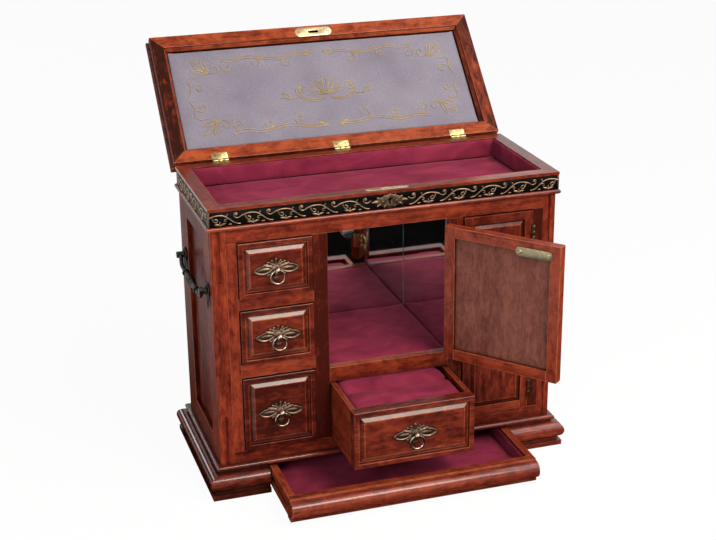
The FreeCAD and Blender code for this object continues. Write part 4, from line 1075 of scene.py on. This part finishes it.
def hang_pull(name, body, plate, face_y, x, z, turn=None):
    """Plate with its ball on a front's face, and the ring in the ball."""
    place = Matrix.Translation((x * MM, face_y * MM, z * MM))
    if turn is not None:
        place = turn @ place
    back = give(copied(plate, name + "_back", place), bronze)
    ball = give(copied(BALL, name + "_ball", place), rubbed_bronze)
    fit(joined([back, ball], name + "_pull"), body, "bronze", name + "_pull_plate")
    ring = copied(RING, name + "_pull_ring", place @ Matrix.Translation((0, -BALL_REACH * MM, 0)))
    fit(give(ring, rubbed_bronze), f"pull_{name}_ring", "bronze", name + "_ring")


COLUMN_MIDDLE = 109.75
FACE_Y = -72.0
hang_pull("top_drawer", "top_drawer", WINGS, FACE_Y, -COLUMN_MIDDLE, 224.3)
hang_pull("middle_drawer", "middle_drawer", WINGS, FACE_Y, -COLUMN_MIDDLE, 158.3)
hang_pull("bottom_drawer", "bottom_drawer", WINGS, FACE_Y, -COLUMN_MIDDLE, 80.3)
hang_pull("ring_drawer", "ring_drawer", WINGS, -142.0, 0, 72.05)
hang_pull("necklace_door", "necklace_door", WINGS, FACE_Y, COLUMN_MIDDLE, 147.5)
hang_pull("centre_door", "centre_door", LEAF, FACE_Y, -37.5, 184.25, DOOR_TURN)


# The frieze: a black band with a scrolling vine

UNIT = 30.4
FRONT_VINE_START = 19.5
SIDE_VINE_START = -64.0


def vine_wave():
    """One wave of the vine: a rising stem, a looped bud under its arch and a leaf at its foot."""
    rise = [(0, -5.6), (3.5, -5.5), (7.5, -2.8), (11.0, 0.6), (15.0, 3.1), (20.0, 4.0),
            (26.0, 3.2), (29.0, 1.8)]
    loop = [(26.4, 3.0), (25.4, 0.6), (24.4, -1.8), (22.4, -3.2), (20.4, -2.0), (21.0, 0.4), (23.4, 0.4)]
    curl = [(10.0, -0.6), (12.6, 0.4), (14.8, -0.8), (14.4, -2.8), (12.8, -2.8), (13.0, -1.6)]
    parts = [stem("rise", rise, even(0.50, 0.85, len(rise))),
             stem("loop", loop, even(0.70, 0.55, len(loop))),
             stem("curl", curl, even(0.60, 0.45, len(curl))),
             leaf_at(SMALL_LEAF, 18.6, -5.7, 164, 1.0), leaf_at(SMALL_LEAF, 18.6, -5.7, 14, 1.0),
             leaf_at(SMALL_LEAF, 18.6, -5.6, 88, 0.62), leaf_at(SMALL_LEAF, 7.6, -5.6, 6, 0.62),
             leaf_at(SMALL_LEAF, 13.0, 2.2, 128, 0.55), bead("bud", 18.6, -0.5, -5.6, 0.9)]
    return smooth(joined(parts, "vine_wave_pattern"), 60)


def vine_hook():
    """The hooked end of a wave, curled round a berry."""
    hook = [(29.0, 1.9), (31.6, -0.2), (34.4, -0.2), (36.2, 1.8), (36.0, 4.2), (34.0, 5.0),
            (32.8, 3.6), (34.0, 2.8)]
    parts = [stem("hook", hook, even(0.60, 0.80, len(hook))), bead("berry", 34.2, -0.6, 3.2, 0.95)]
    return smooth(joined(parts, "vine_hook_pattern"), 60)


def run_of_vine(name, wave, waves, hook, hooks, first, direction):
    """Waves and hooks of the vine, each by its number, along +X or mirrored along -X."""
    units = []
    for pattern, numbers in ((wave, waves), (hook, hooks)):
        for number in numbers:
            place = Matrix.Translation(((first + direction * UNIT * number) * MM, 0, 0))
            units.append(copied(pattern, name + "_unit", place @ Matrix.Diagonal((direction, 1, 1, 1))))
    return close_up(joined(units, name))


def frieze():
    """Black band, the vine on its front and sides, and a bright strip up each front corner."""
    low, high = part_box("frieze_ornament")
    middle_z = (low.z + high.z) / 2
    band = give(smooth(round_edges(welded_copy("frieze_ornament", "frieze_band"), 0.15)), band_black)
    fit(band, "carcase", "bronze", "frieze_ornament")
    wave = vine_wave()
    hook = vine_hook()
    runs = []
    front = Matrix.Translation((0, low.y, middle_z))
    for direction in (1, -1):
        first = direction * FRONT_VINE_START
        run = run_of_vine(f"front_vine_{direction}", wave, range(5), hook, range(-1, 4), first, direction)
        runs.append(settle(run, front))
    for side in (1, -1):
        run = run_of_vine(f"side_vine_{side}", wave, range(4), hook, range(-1, 4), SIDE_VINE_START, 1)
        turn = Matrix.Translation((side * high.x, 0, middle_z)) @ Matrix.Rotation(side * math.pi / 2, 4, "Z")
        runs.append(settle(run, turn))
    vine = give(joined(runs, "frieze_vine"), vine_bronze)
    smooth(vine, 60)
    fit(vine, "carcase", "bronze")
    strips = []
    for side in (1, -1):
        bpy.ops.object.select_all(action="DESELECT")
        bpy.ops.mesh.primitive_cylinder_add(vertices=16, radius=0.9 * MM, depth=high.z - low.z - 0.0006,
                                            location=(side * (high.x - 0.0002), low.y + 0.0002, middle_z))
        strips.append(round_edges(settle(named("corner_strip")), 0.2, 2, 50))
    corner_strips = give(smooth(joined(strips, "frieze_corner_strips"), 40), bronze)
    fit(corner_strips, "carcase", "bronze")
    discard(wave, hook)


frieze()


def escutcheon():
    """Keyhole plate with a rim of leaves."""
    low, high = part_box("keyhole_escutcheon")
    middle_z = (low.z + high.z) / 2
    plate = round_edges(welded_copy("keyhole_escutcheon", "escutcheon_plate"), 0.35, 3)
    place = Matrix.Translation((0, low.y + 0.0004, middle_z))
    leaves = []
    for side in (1, -1):
        for x, z, angle, size in ((11.0, 0.0, 0, 1.15), (8.5, 1.8, 32, 0.9), (8.5, -1.8, -32, 0.9),
                                  (4.2, 2.9, 70, 0.72), (4.2, -2.9, -70, 0.72)):
            turned = angle if side == 1 else 180 - angle
            leaves.append(settle(leaf_at(SMALL_LEAF, side * x, z, turned, size), place))
    for x, z in ((6.6, 0), (-6.6, 0)):
        leaves.append(settle(bead("stud", x, 0, z, 1.1, 0.6), place))
    piece = give(smooth(joined([plate] + leaves, "escutcheon"), 50), vine_bronze)
    fit(piece, "carcase", "bronze", "keyhole_escutcheon")


escutcheon()


# Side handles

HANDLE_HALF_SPAN = 51.0
SIDE_FACE = 169.6
GRIP_RADIUS = 3.2
COLLAR_PLACES = (-7.5, 7.5, -24, 24)


def rosettes():
    """Posts of the side handles, each on a flower of eight petals with a leaf hanging below it."""
    low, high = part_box("side_handle_posts")
    middle_z = (low.z + high.z) / 2
    posts = round_edges(welded_copy("side_handle_posts", "handle_posts"), 0.3, 2)
    petals = []
    for side in (1, -1):
        for along in (1, -1):
            turn = Matrix.Rotation(side * math.pi / 2, 4, "Z")
            foot = Vector((side * SIDE_FACE * MM, along * HANDLE_HALF_SPAN * MM, middle_z))
            place = Matrix.Translation(foot) @ turn
            for number in range(8):
                leaf = leaf_at(SMALL_LEAF, 0, 0, 45 * number, 1.15, 1.0)
                petals.append(settle(leaf, place))
            petals.append(settle(leaf_at(FEATHER, 0, -5.5, -90, 1.05, 0.4), place))
            petals.append(settle(leaf_at(SMALL_LEAF, 0.6, -6.5, -50, 1.0, 0.3), place))
            petals.append(settle(leaf_at(SMALL_LEAF, -0.6, -6.5, -130, 1.0, 0.3), place))
    piece = give(smooth(joined([posts] + petals, "side_handle_rosettes"), 50), dark_bronze)
    fit(piece, "carcase", "bronze", "side_handle_posts")


def bail(side_name):
    """Drop handle with a knop in the middle of its grip and collars on either hand."""
    low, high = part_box(side_name + "_bail")
    bar = welded_copy(side_name + "_bail", side_name + "_bail_bar")
    x = (low.x + high.x) / 2 / MM
    z = (low.z + GRIP_RADIUS * MM) / MM
    parts = [bar, bead("knop", x, 0, z, 4.3)]
    for y in COLLAR_PLACES:
        bpy.ops.object.select_all(action="DESELECT")
        bpy.ops.mesh.primitive_torus_add(major_radius=2.7 * MM, minor_radius=1.0 * MM, major_segments=28,
                                         minor_segments=10, location=(x * MM, y * MM, z * MM),
                                         rotation=(math.pi / 2, 0, 0))
        parts.append(settle(named("collar")))
    piece = give(smooth(joined(parts, side_name + "_bail_cast"), 50), dark_bronze)
    fit(piece, side_name + "_bail", "bronze", side_name + "_bail")


rosettes()
bail("left")
bail("right")


# Hinges, lock, strikes and pegs

def dress_metal(node, body, material, slot, soft_edge=0.15):
    """A fitting with its edges just broken."""
    piece = give(round_edges(welded_copy(node, node + "_metal"), soft_edge), material)
    return fit(smooth(piece, 40), body, slot, node)


SCREW_RIM = 0.40
SCREW_CROWN = 0.56
NEARLY_FLUSH = 0.12


def screw_head():
    """Domed, slotted screw head of 1 mm radius, its underside at z 0."""
    bpy.ops.object.select_all(action="DESELECT")
    bpy.ops.mesh.primitive_cylinder_add(vertices=20, radius=1.0 * MM, depth=SCREW_RIM * MM,
                                        location=(0, 0, SCREW_RIM / 2 * MM))
    head = settle(named("screw_pattern"))
    choose_faces(head, lambda middle, normal: normal.z > 0.9)
    bpy.ops.mesh.inset(thickness=0.25 * MM)
    bpy.ops.transform.translate(value=(0, 0, (SCREW_CROWN - SCREW_RIM) * MM))
    for side in (1, -1):
        bpy.ops.mesh.select_all(action="SELECT")
        bpy.ops.mesh.bisect(plane_co=(side * 0.16 * MM, 0, 0), plane_no=(1, 0, 0))
    done()
    choose_faces(head, lambda middle, normal: normal.z > 0.5 and abs(middle.x) < 0.15 * MM)
    bpy.ops.mesh.extrude_region_move(TRANSFORM_OT_translate={"value": (0, 0, -0.28 * MM)})
    done()
    return smooth(close_up(head), 30)


SCREW = screw_head()


def screws(name, places, body, material, slot):
    """Screw heads at their places, each place a matrix whose +Z leaves the plate."""
    heads = [copied(SCREW, f"{name}_{number}", place) for number, place in enumerate(places)]
    return fit(give(joined(heads, name), material), body, slot)


def screw_place(x, y, z, radius, spin, turn=None, tip=None, proud=NEARLY_FLUSH):
    """Where a screw of a radius sits, its slot spun in degrees and its crown proud, in millimetres."""
    place = Matrix.Translation((x * MM, y * MM, z * MM))
    if tip is not None:
        place = place @ tip
    place = place @ Matrix.Translation((0, 0, (proud - SCREW_CROWN * radius) * MM))
    place = place @ Matrix.Rotation(math.radians(spin), 4, "Z") @ Matrix.Scale(radius, 4)
    return turn @ place if turn is not None else place


FACE_DOWN = Matrix.Rotation(math.pi, 4, "X")
FACE_BACK = Matrix.Rotation(-math.pi / 2, 4, "X")
# Where the screws sit: the top of the body, the lid's meeting face, and lines across the chest
BODY_TOP = 287.0
LID_FACE = 287.3
LOCK_LINE = -64.5
HINGE_LINE = 68.6
HINGE_X = (-125, 0, 125)
HINGE_SCREW_OFFSET = 4.6
HINGE_SCREW_RADIUS = 1.05

dress_metal("hinge_fixed_leaves", "carcase", hinge_brass, "brass")
dress_metal("necklace_door_hinge_leaves", "necklace_door", hinge_brass, "brass")
dress_metal("lock_case", "carcase", brass, "brass")
dress_metal("lock_bolt", "lock_bolt", steel, "steel")
dress_metal("door_catch", "carcase", steel, "steel", 0.5)
dress_metal("necklace_pegs", "carcase", brass, "brass")


def leaves_and_strike(node, body, strike_metal):
    """Hinge leaves, and a strike plate of its own metal, which is the longest piece of the node."""
    solids = solids_of(node)
    strike = max(solids, key=lambda solid: (box_of(solid)[1] - box_of(solid)[0]).length)
    for solid in solids:
        give(solid, strike_metal if solid is strike else hinge_brass)
        round_edges(solid, 0.2)
    piece = smooth(joined(solids, node + "_metal"), 40)
    fit(piece, body, "brass", node)


leaves_and_strike("lid_fittings", "lid", brass)
leaves_and_strike("centre_door_fittings", "centre_door", olive_brass)

lock_screws = [screw_place(side * 17.0, LOCK_LINE, BODY_TOP, 1.5, spin)
               for side, spin in ((1, 20), (-1, 115))]
screws("lock_plate_screws", lock_screws, "carcase", brass, "brass")
fixed_screws = [screw_place(x + side * HINGE_SCREW_OFFSET, HINGE_LINE, BODY_TOP, HINGE_SCREW_RADIUS, spin)
                for x in HINGE_X for side, spin in ((1, 25), (-1, 140))]
screws("lid_hinge_fixed_screws", fixed_screws, "carcase", brass, "brass")
lid_screws = [screw_place(x + side * HINGE_SCREW_OFFSET, HINGE_LINE, LID_FACE, HINGE_SCREW_RADIUS, spin,
                          LID_TURN, FACE_DOWN)
              for x in HINGE_X for side, spin in ((1, 70), (-1, 110))]
lid_screws += [screw_place(side * 15.6, LOCK_LINE, LID_FACE, 1.6, spin, LID_TURN, FACE_DOWN)
               for side, spin in ((1, 5), (-1, 160))]
screws("lid_screws", lid_screws, "lid", aged_brass, "brass")
strike_screws = [screw_place(-33.0 + side * 14.2, -61.5, 240.5, 2.1, spin, DOOR_TURN, FACE_BACK, proud=0.5)
                 for side, spin in ((1, 35), (-1, 120))]
screws("door_strike_screws", strike_screws, "centre_door", brass, "brass")

discard(FEATHER, WING, WING_TIP, SMALL_LEAF, BALL, WINGS, LEAF, RING, SCREW)


# Floor, light and camera

def floor():
    """Pale floor that shows white to the camera and still takes the chest's shadow."""
    bpy.ops.object.select_all(action="DESELECT")
    bpy.ops.mesh.primitive_plane_add(size=8)
    ground = named("studio_floor")
    material, tree, shader = blank("pale_floor")
    shader.inputs["Base Color"].default_value = (0.90, 0.90, 0.90, 1.0)
    shader.inputs["Roughness"].default_value = 0.9
    shader.inputs["Specular IOR Level"].default_value = 0.0
    glow = tree.nodes.new("ShaderNodeEmission")
    glow.inputs["Strength"].default_value = 1.0
    mix = tree.nodes.new("ShaderNodeMixShader")
    share = reckon(tree, "MULTIPLY", seen_directly(tree), 0.95)
    tree.links.new(share, mix.inputs[0])
    tree.links.new(shader.outputs["BSDF"], mix.inputs[1])
    tree.links.new(glow.outputs["Emission"], mix.inputs[2])
    tree.links.new(mix.outputs["Shader"], tree.nodes["Material Output"].inputs["Surface"])
    give(ground, material)


def seen_directly(tree):
    """One for rays from the camera, from gloss and through glass, and nought for light on things."""
    path = tree.nodes.new("ShaderNodeLightPath")
    first = reckon(tree, "MAXIMUM", path.outputs["Is Camera Ray"], path.outputs["Is Glossy Ray"])
    return reckon(tree, "MAXIMUM", first, path.outputs["Is Transmission Ray"])


def black_paper():
    """Black paper without any gloss."""
    material, tree, shader = blank("black_paper")
    shader.inputs["Base Color"].default_value = (0.002, 0.002, 0.002, 1.0)
    shader.inputs["Specular IOR Level"].default_value = 0.0
    return material


def dark_card(name, place, width, length, lean, paper):
    """Black card that shows only in reflections, leaning by degrees about X."""
    bpy.ops.object.select_all(action="DESELECT")
    bpy.ops.mesh.primitive_plane_add(size=1, location=place, rotation=(math.radians(lean), 0, 0))
    card = named(name)
    card.scale = (width, length, 1)
    give(settle(card), paper)
    card.visible_camera = False
    card.visible_diffuse = False
    card.visible_shadow = False


def studio_world(ambient):
    """White to the eye and in reflections, a soft grey light on the chest."""
    world = bpy.data.worlds.new("studio")
    bpy.context.scene.world = world
    world.use_nodes = True
    tree = world.node_tree
    soft = tree.nodes["Background"]
    soft.inputs["Color"].default_value = (1, 1, 1, 1)
    soft.inputs["Strength"].default_value = ambient
    white = tree.nodes.new("ShaderNodeBackground")
    white.inputs["Color"].default_value = (1, 1, 1, 1)
    white.inputs["Strength"].default_value = 1.0
    mix = tree.nodes.new("ShaderNodeMixShader")
    tree.links.new(seen_directly(tree), mix.inputs[0])
    tree.links.new(soft.outputs["Background"], mix.inputs[1])
    tree.links.new(white.outputs["Background"], mix.inputs[2])
    tree.links.new(mix.outputs["Shader"], tree.nodes["World Output"].inputs["Surface"])


def softbox(name, place, aim, size, watts, tint=(1, 1, 1)):
    """Square lamp at a place, turned to its aim."""
    bpy.ops.object.light_add(type="AREA", location=place)
    lamp = named(name)
    lamp.data.size = size
    lamp.data.energy = watts
    lamp.data.color = tint
    lamp.rotation_euler = (Vector(aim) - Vector(place)).to_track_quat("-Z", "Y").to_euler()


SENSOR_WIDTH = 36
PICTURE_PIXELS = 716
FOCAL_PIXELS = 1482.3
KEY_TINT = (1.0, 0.87, 0.75)


def camera(place, yaw, pitch, roll):
    """Plain camera: yaw to the right of straight ahead, pitch up and roll to the left, in degrees."""
    yaw, pitch, roll = math.radians(yaw), math.radians(pitch), math.radians(roll)
    ahead = Vector((math.sin(yaw) * math.cos(pitch), math.cos(yaw) * math.cos(pitch), math.sin(pitch)))
    right = Vector((math.cos(yaw), -math.sin(yaw), 0))
    up = right.cross(ahead)
    level_right = right * math.cos(roll) + up * math.sin(roll)
    level_up = up * math.cos(roll) - right * math.sin(roll)
    bpy.ops.object.camera_add()
    eye = named("photo_camera")
    turn = Matrix((level_right, level_up, -ahead)).transposed().to_4x4()
    eye.matrix_world = Matrix.Translation(Vector(place) * MM) @ turn
    eye.data.sensor_fit = "HORIZONTAL"
    eye.data.sensor_width = SENSOR_WIDTH
    eye.data.lens = SENSOR_WIDTH * FOCAL_PIXELS / PICTURE_PIXELS
    eye.data.clip_start = 0.01
    bpy.context.scene.camera = eye


floor()
studio_world(0.20)
paper = black_paper()
dark_card("floor_card", (0.60, -0.15, 0.0005), 1.66, 3.4, 0, paper)
dark_card("back_card", (-1.80, 2.90, 1.10), 2.4, 2.2, 90, paper)
chest_middle = Vector((0, 0, 0.16))
softbox("key_light", (0.36, -1.10, 1.34), chest_middle, 0.6, 19, KEY_TINT)
softbox("right_light", (1.05, -1.05, 0.95), chest_middle, 0.7, 6)
softbox("front_light", (-0.95, -1.35, 0.80), chest_middle, 0.6, 10)
softbox("streak_light", (-1.15, 2.30, 0.80), chest_middle, 0.4, 4)
softbox("top_light", (0.75, -0.30, 1.45), chest_middle, 0.8, 8)
camera((-422.3, -1298.9, 702.6), 17.67, -20.83, -0.67)
bpy.context.scene.view_settings.view_transform = "Standard"
